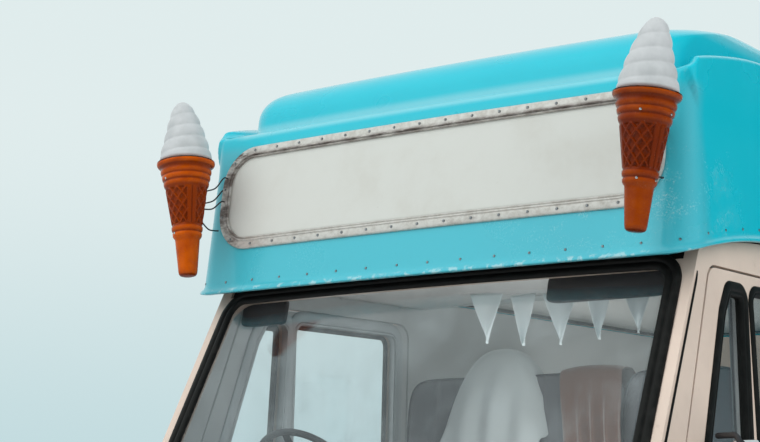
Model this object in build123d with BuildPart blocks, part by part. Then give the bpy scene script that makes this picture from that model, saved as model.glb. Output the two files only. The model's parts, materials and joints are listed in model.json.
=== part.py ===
"""An ice cream truck with a moulded roof canopy, a front sign and two display cones.

All sizes are in millimetres. The origin is on the ground under the middle of the truck.
+Z is up, -Y is the front, and +X is the truck's left side, where the serving window is.
"""

import os
from math import cos, radians, sin, sqrt, tan

from build123d import *

os.makedirs("parts", exist_ok=True)

# Overall length and running gear
HALF_LENGTH = 2380
FRONT_AXLE_Y = -1780
REAR_AXLE_Y = 920
TYRE_R = 330
BEAD_R = 184
WHEEL_X = 820
KINGPIN_X = 700
KINGPIN_R = 14
SPINDLE_R = 20
RUN_GAP = 0.05
SEAT_GAP = 0.3
ARCH_R = 400

# Body section, seen from the front: sill, belt, shoulder, waist and eaves
SILL_X, SILL_Z = 975, 330
BELT_X, BELT_Z = 1000, 700
SHOULDER_X, SHOULDER_Z = 985, 1120
WAIST_X, WAIST_Z = 962, 1165
EAVES_X, EAVES_Z = 935, 2045
WALL = 45
REAR_Y = 2280
REAR_CORNER_R = 130
REAR_PANEL_Y = REAR_Y - 200
CAB_REAR_Y = -20

# Eaves seen from the side: level, then an arc down over the cab to the canopy's lip
EAVES_BREAK_Y = -650
LIP_Y = -1372
LIP_Z = 1948

# Doors
GAP = 8
LATCH_GAP = 12
DOOR_FRONT_Y = -1455
DOOR_REAR_Y = -150
DOOR_LOW_Z = 372
DOOR_TOP_Z = 1930
DOOR_KNEE_Z = 1250
DOOR_TOP_Y = -1172
HINGE_X = 1012
HINGE_R = 9
HINGE_L = 60
HINGE_ZS = (720, 1050)

# Windscreen
SCREEN_FOOT_Z = 1165
RAKE = 28.3
SCREEN_Y, SCREEN_Z = -1288, 1888
SCREEN_BOW = 44
SCREEN_HALF_X = 909
SCREEN_SPREAD = 0.0325
SCREEN_TOP_Z = 1932
SEAL_W = 44
FRAME_T = 50
GLASS_T = 6

# Roof canopy
ROOF_X = 975
ROOF_REAR_Y = REAR_Y + 38
LEAN = 9
SIDE_LEAN = 3
ROOF_CORNER_R = 105
ROOF_BOW = 30
LEDGE_Z = 2532
BAND_TOP_Z = 2652
BAND_FRONT_Y = -1175
SKIN = 35
SOFFIT_T = 18
SOFFIT_REAR_Y = -1180
DOME_SECTIONS = (  # height, half width, front y, rear y, corner radius
    (2470, 850, -1245, 2195, 120),
    (2550, 848, -1243, 2193, 121),
    (2622, 836, -1231, 2181, 124),
    (2674, 790, -1183, 2133, 136),
    (2707, 715, -1105, 2055, 146),
    (2730, 625, -1012, 1962, 150),
    (2748, 535, -918, 1868, 150),
    (2764, 440, -818, 1768, 146),
    (2778, 345, -716, 1666, 136),
    (2790, 245, -606, 1556, 120),
    (2800, 140, -485, 1435, 95),
)

# Front sign
SIGN_X = 880
SIGN_LOW_Z, SIGN_HIGH_Z = 2102, 2478
SIGN_CORNER_R = 165
SIGN_FRAME_W = 40
SIGN_FRAME_T = 14
SIGN_PANEL_T = 6

# Display cones: profile is height along the axis from the rim, then radius
CONE_X, CONE_Y, CONE_RIM_Z = 907, -1492, 2402
CONE_OUT, CONE_BACK = 5.5, 3.0
CONE_PROFILE = (
    (10, 0),
    (10, 96),
    (4, 102),
    (-10, 102),
    (-18, 90),
    (-24, 86),
    (-44, 86),
    (-48, 80),
    (-66, 79),
    (-70, 73),
    (-88, 72),
    (-92, 66),
    (-226, 48),
    (-230, 52),
    (-246, 50),
    (-250, 46),
    (-268, 46),
    (-272, 41),
    (-392, 31),
    (-406, 20),
    (-406, 0),
)
SWIRL_PROFILE = ((10.3, 90), (22, 94), (70, 84), (84, 76), (124, 66), (138, 56), (172, 46), (186, 36), (214, 26))
SWIRL_TOP = 235

# Nose
NOSE_FRONT_Y = -2285
NOSE_WALL = 30
NOSE_CORNER_R = 190
NOSE_TAPER = 55
BONNET_FALL = 13
CROWN_Y, CROWN_Z = -1600, 1150
BONNET_X = 600
BONNET_FRONT_Y, BONNET_REAR_Y = -2215, -1775
BONNET_HINGE_X, BONNET_HINGE_R, BONNET_HINGE_L = 230, 7, 40
BONNET_AXIS = (BONNET_REAR_Y + GAP, 1120)
BONNET_LEAF = {-1: (-28, -4), 1: (1, 6)}
GRILLE_X, GRILLE_Z, GRILLE_H = 830, 765, 250
LAMP_X, LAMP_R = 700, 92

# Serving hatch, windows and rear door
HATCH_Y, HATCH_Z = (230, 1430), (1230, 1830)
SIDE_WINDOW_Y = (330, 1330)
SMALL_WINDOW_Y = (1560, 1960)
SIDE_WINDOW_Z = (1330, 1800)
REAR_DOOR_X = 350
REAR_DOOR_Z = (520, 1900)
FLOOR_Z = 590
FLOOR_T = 40

# Chassis rails and bumpers
BUMPER_X, BUMPER_Z, BUMPER_H = 1016, 430, 130
RAIL_X, RAIL_W, RAIL_H = 400, 60, 110
RAIL_TOP_Z = FLOOR_Z - FLOOR_T
RAIL_Z = RAIL_TOP_Z - RAIL_H / 2
RAIL_WEB = 6
RAIL_FRONT_Y, RAIL_REAR_Y = -2180, 2200
IRON_T, IRON_LAP = 12, 45
IRON_X = RAIL_X + RAIL_W / 2 - RAIL_WEB - IRON_T / 2
SPRING_X, LEAF_W = 520, 55


def save(builder, name):
    """Labels a finished piece and writes it under its own name."""
    builder.part.label = name
    export_step(builder.part, f"parts/{name}.step")


def eaves_z(y):
    """Height of the canopy's lower edge at a place along the truck."""
    run = max(0, min(EAVES_BREAK_Y - LIP_Y, EAVES_BREAK_Y - y))
    return EAVES_Z - (EAVES_R - sqrt(EAVES_R**2 - run**2))


EAVES_R = ((EAVES_BREAK_Y - LIP_Y) ** 2 + (EAVES_Z - LIP_Z) ** 2) / (2 * (EAVES_Z - LIP_Z))


def under_eaves():
    """Everything below the canopy's lower edge."""
    with BuildPart() as below:
        with BuildSketch(Plane.YZ.offset(-1300)):
            with BuildLine():
                middle_y = (EAVES_BREAK_Y + LIP_Y) / 2
                ThreePointArc((LIP_Y, LIP_Z), (middle_y, eaves_z(middle_y)), (EAVES_BREAK_Y, EAVES_Z))
                Polyline((EAVES_BREAK_Y, EAVES_Z), (2600, EAVES_Z), (2600, 0), (-2600, 0), (-2600, LIP_Z), (LIP_Y, LIP_Z))
            make_face()
        extrude(amount=2600)
    return below.part


def body_block(inset):
    """The body's outline moved in by inset, from the nose to the rear wall."""
    with BuildPart() as block:
        with BuildSketch(Plane.XZ.offset(2400)):
            with BuildLine():
                ThreePointArc((SILL_X - inset, SILL_Z), (BELT_X - inset, BELT_Z), (SHOULDER_X - inset, SHOULDER_Z))
                Polyline(
                    (SHOULDER_X - inset, SHOULDER_Z),
                    (WAIST_X - inset, WAIST_Z),
                    (EAVES_X - inset, EAVES_Z),
                    (0, EAVES_Z),
                    (0, SILL_Z),
                    (SILL_X - inset, SILL_Z),
                )
            make_face()
            mirror(about=Plane.YZ)
        extrude(amount=-(2400 + REAR_Y - inset))
        at_rear = block.faces().sort_by(Axis.Y)[-1].edges()
        fillet([e for e in at_rear if abs(e.center().X) > BELT_X / 2], REAR_CORNER_R - inset)
    return block.part


def screen_plane(shift=0):
    """A plane square to the windscreen's rake, through its side edge; local y points back."""
    u = (0, sin(radians(RAKE)), cos(radians(RAKE)))
    return Plane(origin=(0, SCREEN_Y, SCREEN_Z), x_dir=(1, 0, 0), z_dir=u).offset(shift)


def bow_band(plane, half_x, bow, front, back, reach=1150):
    """A strip on a plane between two bowed lines, front and back of the reference surface."""
    radius = (half_x**2 + bow**2) / (2 * bow)
    drop = radius - sqrt(radius**2 - reach**2)
    with BuildSketch(plane) as band:
        with BuildLine():
            ThreePointArc((-reach, front - bow + drop), (0, front - bow), (reach, front - bow + drop))
            Line((reach, front - bow + drop), (reach, back - bow + drop))
            ThreePointArc((reach, back - bow + drop), (0, back - bow), (-reach, back - bow + drop))
            Line((-reach, back - bow + drop), (-reach, front - bow + drop))
        make_face()
    return band.sketch


def screen_slab(front, back):
    """The raked, bowed windscreen surface given a thickness."""
    with BuildPart() as slab:
        extrude(bow_band(screen_plane(-1000), SCREEN_HALF_X, SCREEN_BOW, front, back), amount=1400)
    return slab.part


def screen_outline(inset):
    """The windscreen's outline seen from the front, as a block right through the cab."""
    low, high = SCREEN_FOOT_Z + 14 + inset, SCREEN_TOP_Z - inset

    def half(z):
        return SCREEN_HALF_X + (SCREEN_Z - z) * SCREEN_SPREAD - inset

    with BuildPart() as outline:
        with BuildSketch(Plane.XZ.offset(1000)) as front:
            with BuildLine():
                Polyline((-half(low), low), (half(low), low), (half(high), high), (-half(high), high), close=True)
            make_face()
            fillet(front.vertices(), 100 - inset)
        extrude(amount=1000)
    return outline.part


def window_block(side, y_span, z_span, radius, inset=0):
    """A rounded window opening seen from the side, out to one side of the truck."""
    with BuildPart() as block:
        with BuildSketch(Plane.YZ):
            with Locations(((y_span[0] + y_span[1]) / 2, (z_span[0] + z_span[1]) / 2)):
                RectangleRounded(y_span[1] - y_span[0] - 2 * inset, z_span[1] - z_span[0] - 2 * inset, radius - inset)
        extrude(amount=side * 1300)
    return block.part


def box_block(x_span, y_span, z_span):
    """A plain block between two corners, given in any order."""
    spans = (x_span, y_span, z_span)
    with BuildPart() as block:
        with Locations(tuple(sum(span) / 2 for span in spans)):
            Box(*(abs(span[1] - span[0]) for span in spans))
    return block.part


def arch_block(axle_y, radius, x_from=560):
    """The wheel arch's round opening on both sides."""
    with BuildPart() as block:
        for side in (-1, 1):
            with BuildSketch(Plane.YZ.offset(side * x_from)):
                with Locations((axle_y, TYRE_R)):
                    Circle(radius)
            extrude(amount=side * 800)
    return block.part


def door_block(side, grow, rear_grow):
    """The cab door's outline seen from the side, grown by the gap round it."""
    y0, y1 = DOOR_FRONT_Y - grow, DOOR_REAR_Y + rear_grow
    z0, z1 = DOOR_LOW_Z - grow, DOOR_TOP_Z + grow
    with BuildPart() as block:
        with BuildSketch(Plane.YZ) as outline:
            with BuildLine():
                Polyline((y0, z0), (y1, z0), (y1, z1), (DOOR_TOP_Y - grow, z1), (y0, DOOR_KNEE_Z), close=True)
            make_face()
            fillet(outline.vertices().group_by(Axis.X)[0].sort_by(Axis.Y)[-1:], 240)
            fillet(outline.vertices().group_by(Axis.Y)[-1], 60 + grow)
        extrude(amount=side * 1300)
        add(arch_block(FRONT_AXLE_Y, ARCH_R + 40 - grow), mode=Mode.SUBTRACT)
    return block.part


def quarter_block(side, inset):
    """The door's quarterlight opening, rounded at the top and raked at the front."""
    with BuildPart() as block:
        with BuildSketch(Plane.YZ) as outline:
            with BuildLine():
                Polyline((-1330, 1215), (-960, 1215), (-930, 1885), (-1060, 1885), (-1110, 1800), close=True)
            make_face()
            fillet(outline.vertices(), 34)
            offset(amount=-inset)
        extrude(amount=side * 1300)
    return block.part


def roof_ring(z, inset):
    """One level outline of the leaning canopy band, as a sketch face."""
    lean, side_lean = ((z - LIP_Z) * tan(radians(angle)) for angle in (LEAN, SIDE_LEAN))
    half_x = ROOF_X - side_lean - inset
    front, rear = LIP_Y + lean + inset, ROOF_REAR_Y - side_lean - inset
    with BuildSketch(Plane.XY.offset(z)) as ring:
        with BuildLine():
            ThreePointArc((-half_x, front), (0, front - ROOF_BOW), (half_x, front))
            Polyline((half_x, front), (half_x, rear), (-half_x, rear), (-half_x, front))
        make_face()
        fillet(ring.vertices(), ROOF_CORNER_R - inset)
    return ring.sketch


def canopy_block(inset):
    """The canopy's whole outline, band and dome, moved in by inset."""
    with BuildPart() as block:
        for z in (1900, BAND_TOP_Z - inset):
            add(roof_ring(z, inset))
        loft(ruled=True)
        with BuildSketch(Plane.YZ.offset(-1300)) as notch:
            with BuildLine():
                Polyline(
                    (-1600, LEDGE_Z - inset),
                    (BAND_FRONT_Y + inset, LEDGE_Z - inset),
                    (BAND_FRONT_Y + 40 + inset, LEDGE_Z + 60),
                    (BAND_FRONT_Y + 200 + inset, BAND_TOP_Z + 5),
                    (-1600, BAND_TOP_Z + 5),
                    close=True,
                )
            make_face()
        extrude(amount=2600, mode=Mode.SUBTRACT)
        for z, half_x, front, rear, radius in DOME_SECTIONS:
            with BuildSketch(Plane.XY.offset(z - inset * (z > 2500))):
                with Locations((0, (front + rear) / 2)):
                    RectangleRounded(2 * (half_x - inset), rear - front - 2 * inset, radius - inset)
        loft()
    return block.part


BODY = body_block(0)
CABIN = body_block(WALL)
with BuildPart() as shell_builder:
    add(BODY)
    add(CABIN, mode=Mode.SUBTRACT)
    add(under_eaves(), mode=Mode.INTERSECT)
SHELL = shell_builder.part
CANOPY = canopy_block(0)
with BuildPart() as canopy_cavity:
    add(canopy_block(SKIN))
    soffit = ((-ROOF_X, ROOF_X), (LIP_Y - 2 * ROOF_BOW, SOFFIT_REAR_Y), (0, LIP_Z + SOFFIT_T))
    add(box_block(*soffit), mode=Mode.SUBTRACT)

with BuildPart() as roof_shell:
    add(CANOPY)
    add(canopy_cavity.part, mode=Mode.SUBTRACT)
    add(under_eaves(), mode=Mode.SUBTRACT)
save(roof_shell, "roof_shell")


def sign_outline(inset):
    """The sign's long outline with large round ends, right through the canopy's front."""
    with BuildPart() as outline:
        with BuildSketch(Plane.XZ.offset(1100)):
            with Locations((0, (SIGN_LOW_Z + SIGN_HIGH_Z) / 2)):
                height = SIGN_HIGH_Z - SIGN_LOW_Z - 2 * inset
                RectangleRounded(2 * (SIGN_X - inset), height, SIGN_CORNER_R - inset)
        extrude(amount=500)
    return outline.part


def sign_slab(front, back):
    """A layer that follows the canopy's leaning, bowed front."""
    lean = (0, sin(radians(LEAN)), cos(radians(LEAN)))
    fascia = Plane(origin=(0, LIP_Y, LIP_Z), x_dir=(1, 0, 0), z_dir=lean)
    with BuildPart() as slab:
        extrude(bow_band(fascia, ROOF_X, ROOF_BOW, front, back), amount=600)
    return slab.part


with BuildPart() as sign_frame:
    add(sign_slab(-SIGN_FRAME_T, 60))
    add(sign_outline(0), mode=Mode.INTERSECT)
    add(sign_outline(SIGN_FRAME_W), mode=Mode.SUBTRACT)
    add(CANOPY, mode=Mode.SUBTRACT)
save(sign_frame, "sign_frame")

with BuildPart() as sign_panel:
    add(sign_slab(-SIGN_PANEL_T, 60))
    add(sign_outline(SIGN_FRAME_W), mode=Mode.INTERSECT)
    add(CANOPY, mode=Mode.SUBTRACT)
save(sign_panel, "sign_panel")


def cone_plane(side):
    """The display cone's own frame: its rim's middle, leaning out and back."""
    out, back = radians(CONE_OUT), radians(CONE_BACK)
    axis = (side * sin(out), sin(back), cos(out))
    return Plane(origin=(side * CONE_X, CONE_Y, CONE_RIM_Z), x_dir=(1, 0, 0), z_dir=axis)


def turned(side, profile):
    """Turns a profile of radius and height about a display cone's axis."""
    frame = cone_plane(side)
    with BuildPart() as piece:
        with BuildSketch(Plane(frame.origin, x_dir=frame.x_dir, z_dir=-frame.y_dir)):
            with BuildLine():
                Polyline(*profile, close=True)
            make_face()
        revolve(axis=Axis(frame.origin, frame.z_dir))
    return piece.part


with BuildPart() as waffle_cones:
    for side in (-1, 1):
        add(turned(side, [(radius, height) for height, radius in CONE_PROFILE]))
save(waffle_cones, "waffle_cones")

with BuildPart() as cone_swirls:
    for side in (-1, 1):
        ring = [(radius, height) for height, radius in SWIRL_PROFILE]
        add(turned(side, [(0, SWIRL_PROFILE[0][0]), *ring, (10, SWIRL_TOP), (0, SWIRL_TOP)]))
save(cone_swirls, "cone_swirls")

BRACKET_DROPS = (-60, -255)


def cone_stay(side, drop):
    """A short square stay from a display cone's back to the canopy's front corner."""
    seat = cone_plane(side).origin + cone_plane(side).z_dir * drop
    with BuildPart() as stay:
        with Locations((seat.X - side * 45, seat.Y + 120, seat.Z)):
            Box(24, 240, 24)
        add(CANOPY, mode=Mode.SUBTRACT)
        add(sign_frame.part, mode=Mode.SUBTRACT)
        add(waffle_cones.part, mode=Mode.SUBTRACT)
    return stay.part.solids().sort_by(SortBy.VOLUME)[-1]


with BuildPart() as cone_brackets:
    for side in (-1, 1):
        for drop in BRACKET_DROPS:
            add(cone_stay(side, drop))
save(cone_brackets, "cone_brackets")

# Windscreen and cab
OPENING = screen_outline(10)
with BuildPart() as cab_space:
    add(screen_slab(0, 2600))
    add(box_block((-1300, 1300), (-2400, 2400), (SHOULDER_Z, 2400)), mode=Mode.INTERSECT)

with BuildPart() as screen_frame:
    add(screen_slab(0, FRAME_T))
    add(BODY, mode=Mode.INTERSECT)
    add(box_block((-1200, 1200), (-2400, 0), (SHOULDER_Z - 20, LIP_Z)), mode=Mode.INTERSECT)
    add(OPENING, mode=Mode.SUBTRACT)

with BuildPart() as windscreen_seal:
    add(screen_slab(-8, 16))
    add(OPENING, mode=Mode.INTERSECT)
    add(screen_outline(10 + SEAL_W), mode=Mode.SUBTRACT)
save(windscreen_seal, "windscreen_seal")

with BuildPart() as cab_sides:
    add(SHELL)
    add(box_block((-1300, 1300), (-1800, CAB_REAR_Y), (0, EAVES_Z)), mode=Mode.INTERSECT)
    with BuildSketch(Plane.YZ.offset(-1300)):
        with BuildLine():
            knee = SCREEN_Y - (SCREEN_Z - SHOULDER_Z) * tan(radians(RAKE))
            top = SCREEN_Y + (EAVES_Z - SCREEN_Z) * tan(radians(RAKE))
            front = DOOR_FRONT_Y - GAP
            Polyline(
                (-2000, 0),
                (front, 0),
                (front, SHOULDER_Z),
                (knee, SHOULDER_Z),
                (top, EAVES_Z),
                (top, EAVES_Z + 100),
                (-2000, EAVES_Z + 100),
                close=True,
            )
        make_face()
    extrude(amount=2600, mode=Mode.SUBTRACT)
    for side in (-1, 1):
        add(door_block(side, GAP, LATCH_GAP), mode=Mode.SUBTRACT)
    add(arch_block(FRONT_AXLE_Y, ARCH_R), mode=Mode.SUBTRACT)

with BuildPart() as cab_frame:
    add(cab_sides.part)
    add(screen_frame.part)
    add(roof_shell.part, mode=Mode.SUBTRACT)
    add(windscreen_seal.part, mode=Mode.SUBTRACT)
save(cab_frame, "cab_frame")

with BuildPart() as windscreen_glass:
    add(screen_slab(2, 2 + GLASS_T))
    add(screen_outline(10 + SEAL_W), mode=Mode.INTERSECT)
save(windscreen_glass, "windscreen_glass")


# Glass for the sides and rear: a thin layer in the middle of the walls
with BuildPart() as glass_layer:
    add(body_block((WALL - GLASS_T) / 2))
    add(body_block((WALL + GLASS_T) / 2), mode=Mode.SUBTRACT)
GLASS_LAYER = glass_layer.part


def pane(block):
    """Part of the glass layer that fills a window."""
    with BuildPart() as glass:
        add(GLASS_LAYER)
        add(block, mode=Mode.INTERSECT)
    return glass.part


DOOR_WINDOW = ((-888, -238), (1215, 1885))
HINGE_Y = DOOR_FRONT_Y - GAP / 2

for side, word in ((1, "left"), (-1, "right")):
    quarter = quarter_block(side, 0)
    main = window_block(side, *DOOR_WINDOW, 45)
    with BuildPart() as door:
        add(SHELL)
        add(door_block(side, 0, 0), mode=Mode.INTERSECT)
        add(quarter, mode=Mode.SUBTRACT)
        add(main, mode=Mode.SUBTRACT)
        with BuildSketch(Plane.YZ.offset(side * (BELT_X - 12))):
            with Locations((DOOR_REAR_Y - 130, 1010)):
                RectangleRounded(150, 26, 12)
        extrude(amount=side * 32)
        for z in HINGE_ZS:
            with Locations((side * (HINGE_X - 14), HINGE_Y + 12, z)):
                Box(22, 22, HINGE_L)
            with Locations((side * HINGE_X, HINGE_Y, z)):
                Cylinder(HINGE_R, HINGE_L)
    save(door, f"{word}_door")
    with BuildPart() as door_glass:
        add(pane(quarter))
        add(pane(main))
    save(door_glass, f"{word}_door_glass")
    with BuildPart() as door_mirror:
        with BuildLine():
            FilletPolyline(
                (side * 975, -1240, 1090),
                (side * 1075, -1300, 1090),
                (side * 1075, -1300, 1420),
                (side * 985, -1250, 1420),
                radius=30,
            )
        with BuildSketch(Plane.YZ.offset(side * 975)):
            with Locations((-1240, 1090)):
                Circle(9)
        sweep()
        with BuildSketch(Plane.XZ.offset(1290)):
            with Locations((side * 1085, 1290)):
                RectangleRounded(120, 200, 30)
        extrude(amount=34)
        add(door.part, mode=Mode.SUBTRACT)
    save(door_mirror, f"{word}_mirror")

# Side walls of the serving room
WALL_SPAN = ((CAB_REAR_Y, REAR_PANEL_Y), (0, EAVES_Z))
WALL_WINDOWS = {
    1: ((HATCH_Y, HATCH_Z, 50), (SMALL_WINDOW_Y, SIDE_WINDOW_Z, 60)),
    -1: ((SIDE_WINDOW_Y, SIDE_WINDOW_Z, 60), (SMALL_WINDOW_Y, SIDE_WINDOW_Z, 60)),
}
for side, word in ((1, "left"), (-1, "right")):
    with BuildPart() as side_wall:
        add(SHELL)
        add(box_block((0, side * 1300), *WALL_SPAN), mode=Mode.INTERSECT)
        add(arch_block(REAR_AXLE_Y, ARCH_R), mode=Mode.SUBTRACT)
        for y_span, z_span, radius in WALL_WINDOWS[side]:
            add(window_block(side, y_span, z_span, radius), mode=Mode.SUBTRACT)
    save(side_wall, f"{word}_side_wall")

with BuildPart() as side_glass:
    for side, windows in WALL_WINDOWS.items():
        for y_span, z_span, radius in windows:
            if z_span != HATCH_Z:
                add(pane(window_block(side, y_span, z_span, radius)))
save(side_glass, "side_glass")

HATCH_T = 60
with BuildPart() as hatch_frame:
    add(body_block(-8))
    add(body_block(HATCH_T - 8), mode=Mode.SUBTRACT)
    add(window_block(1, HATCH_Y, HATCH_Z, 50), mode=Mode.INTERSECT)
    add(window_block(1, HATCH_Y, HATCH_Z, 50, 28), mode=Mode.SUBTRACT)
save(hatch_frame, "hatch_frame")

HATCH_MIDDLE = (HATCH_Y[0] + HATCH_Y[1]) / 2
with BuildPart() as hatch_glass:
    add(pane(window_block(1, (HATCH_Y[0], HATCH_MIDDLE), HATCH_Z, 50, 28)))
save(hatch_glass, "hatch_glass")

SHELF_X, SHELF_T, SHELF_TOP_Z = (950, 1120), 24, HATCH_Z[0] - 40
with BuildPart() as serving_counter:
    with Locations((sum(SHELF_X) / 2, HATCH_MIDDLE, SHELF_TOP_Z - SHELF_T / 2)):
        Box(SHELF_X[1] - SHELF_X[0], HATCH_Y[1] - HATCH_Y[0] + 60, SHELF_T)
    for y in (HATCH_Y[0] + 120, HATCH_Y[1] - 136):
        with BuildSketch(Plane.XZ.offset(-y)):
            with BuildLine():
                under = SHELF_TOP_Z - SHELF_T
                Polyline((SHELF_X[0], under), (SHELF_X[1] - 30, under), (SHELF_X[0], under - 126), close=True)
            make_face()
        extrude(amount=-16)
    add(BODY, mode=Mode.SUBTRACT)
save(serving_counter, "serving_counter")


def iron_slot(side, y_span):
    """The notch in a panel's lower edge that a bumper iron passes through."""
    x_span = (side * (IRON_X - IRON_T), side * (IRON_X + IRON_T))
    return box_block(x_span, y_span, (0, RAIL_Z + 33))


# Rear wall and door
with BuildPart() as rear_wall:
    add(SHELL)
    add(box_block((-1300, 1300), (REAR_PANEL_Y, 2400), (0, EAVES_Z)), mode=Mode.INTERSECT)
    with BuildSketch(Plane.XZ.offset(-REAR_PANEL_Y)):
        with Locations((0, (REAR_DOOR_Z[0] + REAR_DOOR_Z[1]) / 2)):
            RectangleRounded(2 * (REAR_DOOR_X + LATCH_GAP), REAR_DOOR_Z[1] - REAR_DOOR_Z[0] + 2 * GAP, 68)
    extrude(amount=-400, mode=Mode.SUBTRACT)
    for side in (-1, 1):
        add(iron_slot(side, (REAR_PANEL_Y, 2400)), mode=Mode.SUBTRACT)
save(rear_wall, "rear_wall")

REAR_WINDOW = (250, (1280, 1800))
with BuildPart() as rear_window:
    with BuildSketch(Plane.XZ.offset(-REAR_PANEL_Y)):
        with Locations((0, sum(REAR_WINDOW[1]) / 2)):
            RectangleRounded(2 * REAR_WINDOW[0], REAR_WINDOW[1][1] - REAR_WINDOW[1][0], 60)
    extrude(amount=-400)

REAR_HINGE = (-REAR_DOOR_X - LATCH_GAP / 2, REAR_Y + 8)
with BuildPart() as rear_door:
    add(SHELL)
    with BuildSketch(Plane.XZ.offset(-REAR_PANEL_Y)):
        with Locations((0, (REAR_DOOR_Z[0] + REAR_DOOR_Z[1]) / 2)):
            RectangleRounded(2 * REAR_DOOR_X, REAR_DOOR_Z[1] - REAR_DOOR_Z[0], 60)
    extrude(amount=-400, mode=Mode.INTERSECT)
    add(rear_window.part, mode=Mode.SUBTRACT)
    with Locations((REAR_DOOR_X - 70, REAR_Y + 12, 1050)):
        Box(30, 24, 150)
    for z in (620, 1700):
        with Locations((REAR_HINGE[0] + 14, REAR_Y + 4, z)):
            Box(28, 8, HINGE_L)
        with Locations((*REAR_HINGE, z)):
            Cylinder(HINGE_R - 1.5, HINGE_L)
save(rear_door, "rear_door")

with BuildPart() as rear_door_glass:
    add(GLASS_LAYER)
    add(rear_window.part, mode=Mode.INTERSECT)
save(rear_door_glass, "rear_door_glass")

# Floor with its wheel boxes and toe board
TOE_Y, TOE_TOP_Z = -1330, 1066
WHEEL_BOX = (640, 420, 720)
with BuildPart() as floor_pan:
    with BuildSketch(Plane.YZ.offset(-1300)):
        with BuildLine():
            Polyline(
                (REAR_Y, FLOOR_Z - FLOOR_T),
                (REAR_Y, FLOOR_Z),
                (TOE_Y, FLOOR_Z),
                (DOOR_FRONT_Y + 60, TOE_TOP_Z),
                (DOOR_FRONT_Y + 25, TOE_TOP_Z),
                (TOE_Y - 30, FLOOR_Z - FLOOR_T),
                close=True,
            )
        make_face()
    extrude(amount=2600)
    for side in (-1, 1):
        add(
            box_block(
                (side * WHEEL_BOX[0], side * 1300),
                (REAR_AXLE_Y - WHEEL_BOX[1], REAR_AXLE_Y + WHEEL_BOX[1]),
                (FLOOR_Z - FLOOR_T, WHEEL_BOX[2] + 25),
            )
        )
        add(
            box_block(
                (side * (WHEEL_BOX[0] + 20), side * 1300),
                (REAR_AXLE_Y - WHEEL_BOX[1] + 20, REAR_AXLE_Y + WHEEL_BOX[1] - 20),
                (0, WHEEL_BOX[2]),
            ),
            mode=Mode.SUBTRACT,
        )
    add(CABIN, mode=Mode.INTERSECT)
save(floor_pan, "floor_pan")


def nose_block(inset):
    """The rounded nose ahead of the cab: body sides, tapering plan, sloping front and crown."""
    fall = radians(BONNET_FALL)
    with BuildPart() as block:
        add(body_block(inset))
        front = NOSE_FRONT_Y + inset
        with BuildSketch(Plane.XY) as plan:
            with BuildLine():
                ThreePointArc((-BELT_X + NOSE_TAPER + inset, front + 40), (0, front), (BELT_X - NOSE_TAPER - inset, front + 40))
                Polyline(
                    (BELT_X - NOSE_TAPER - inset, front + 40),
                    (BELT_X - inset, -1850),
                    (BELT_X - inset, DOOR_FRONT_Y),
                    (-BELT_X + inset, DOOR_FRONT_Y),
                    (-BELT_X + inset, -1850),
                    (-BELT_X + NOSE_TAPER + inset, front + 40),
                )
            make_face()
            fillet(plan.vertices().group_by(Axis.Y)[0], NOSE_CORNER_R - inset)
        extrude(amount=1300, mode=Mode.INTERSECT)
        ahead = (0, -cos(fall), -sin(fall))
        with BuildSketch(Plane(origin=(0, CROWN_Y + 300, CROWN_Z + 300 * tan(fall)), x_dir=(1, 0, 0), z_dir=ahead)) as crown:
            with BuildLine():
                ThreePointArc((-1100 + inset, -80 - inset), (0, -inset), (1100 - inset, -80 - inset))
                Polyline((1100 - inset, -80 - inset), (1100 - inset, -1300), (-1100 + inset, -1300), (-1100 + inset, -80 - inset))
            make_face()
        extrude(amount=1300, mode=Mode.INTERSECT)
        with BuildSketch(Plane.YZ.offset(-1300)) as side_view:
            with BuildLine():
                Line((-1300, 0), (-1300, 1400))
                Line((-1300, 1400), (front + 95, 1400))
                ThreePointArc((front + 95, 1400), (front, 700), (front + 30, 0))
                Line((front + 30, 0), (-1300, 0))
            make_face()
        extrude(amount=2600, mode=Mode.INTERSECT)
    return block.part


def bonnet_hinge(x, length, towards):
    """One knuckle of a bonnet hinge on its leaf, on the panel ahead of it or behind it."""
    y, z = BONNET_AXIS
    near, far = BONNET_LEAF[towards]
    with BuildPart() as knuckle:
        with Locations((x, y, z)):
            Cylinder(BONNET_HINGE_R, length, rotation=(0, 90, 0))
        add(box_block((x - length / 2, x + length / 2), (y + near, y + far), (z - 20, z)))
    return knuckle.part


NOSE = nose_block(0)
NOSE_INSIDE = nose_block(NOSE_WALL)


def bonnet_block(grow):
    """The bonnet's outline seen from above, grown by the gap round it."""
    with BuildPart() as block:
        with BuildSketch(Plane.XY.offset(900)):
            with Locations((0, (BONNET_FRONT_Y + BONNET_REAR_Y) / 2)):
                RectangleRounded(2 * (BONNET_X + grow), BONNET_REAR_Y - BONNET_FRONT_Y + 2 * grow, 40 + grow)
        extrude(amount=500)
    return block.part


def grille_block(grow):
    """The grille opening with its round ends, seen from the front."""
    with BuildPart() as block:
        with BuildSketch(Plane.XZ.offset(2000)):
            with Locations((0, GRILLE_Z)):
                RectangleRounded(2 * (GRILLE_X + grow), GRILLE_H + 2 * grow, (GRILLE_H + 2 * grow) / 2 - 1)
        extrude(amount=400)
    return block.part


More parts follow.
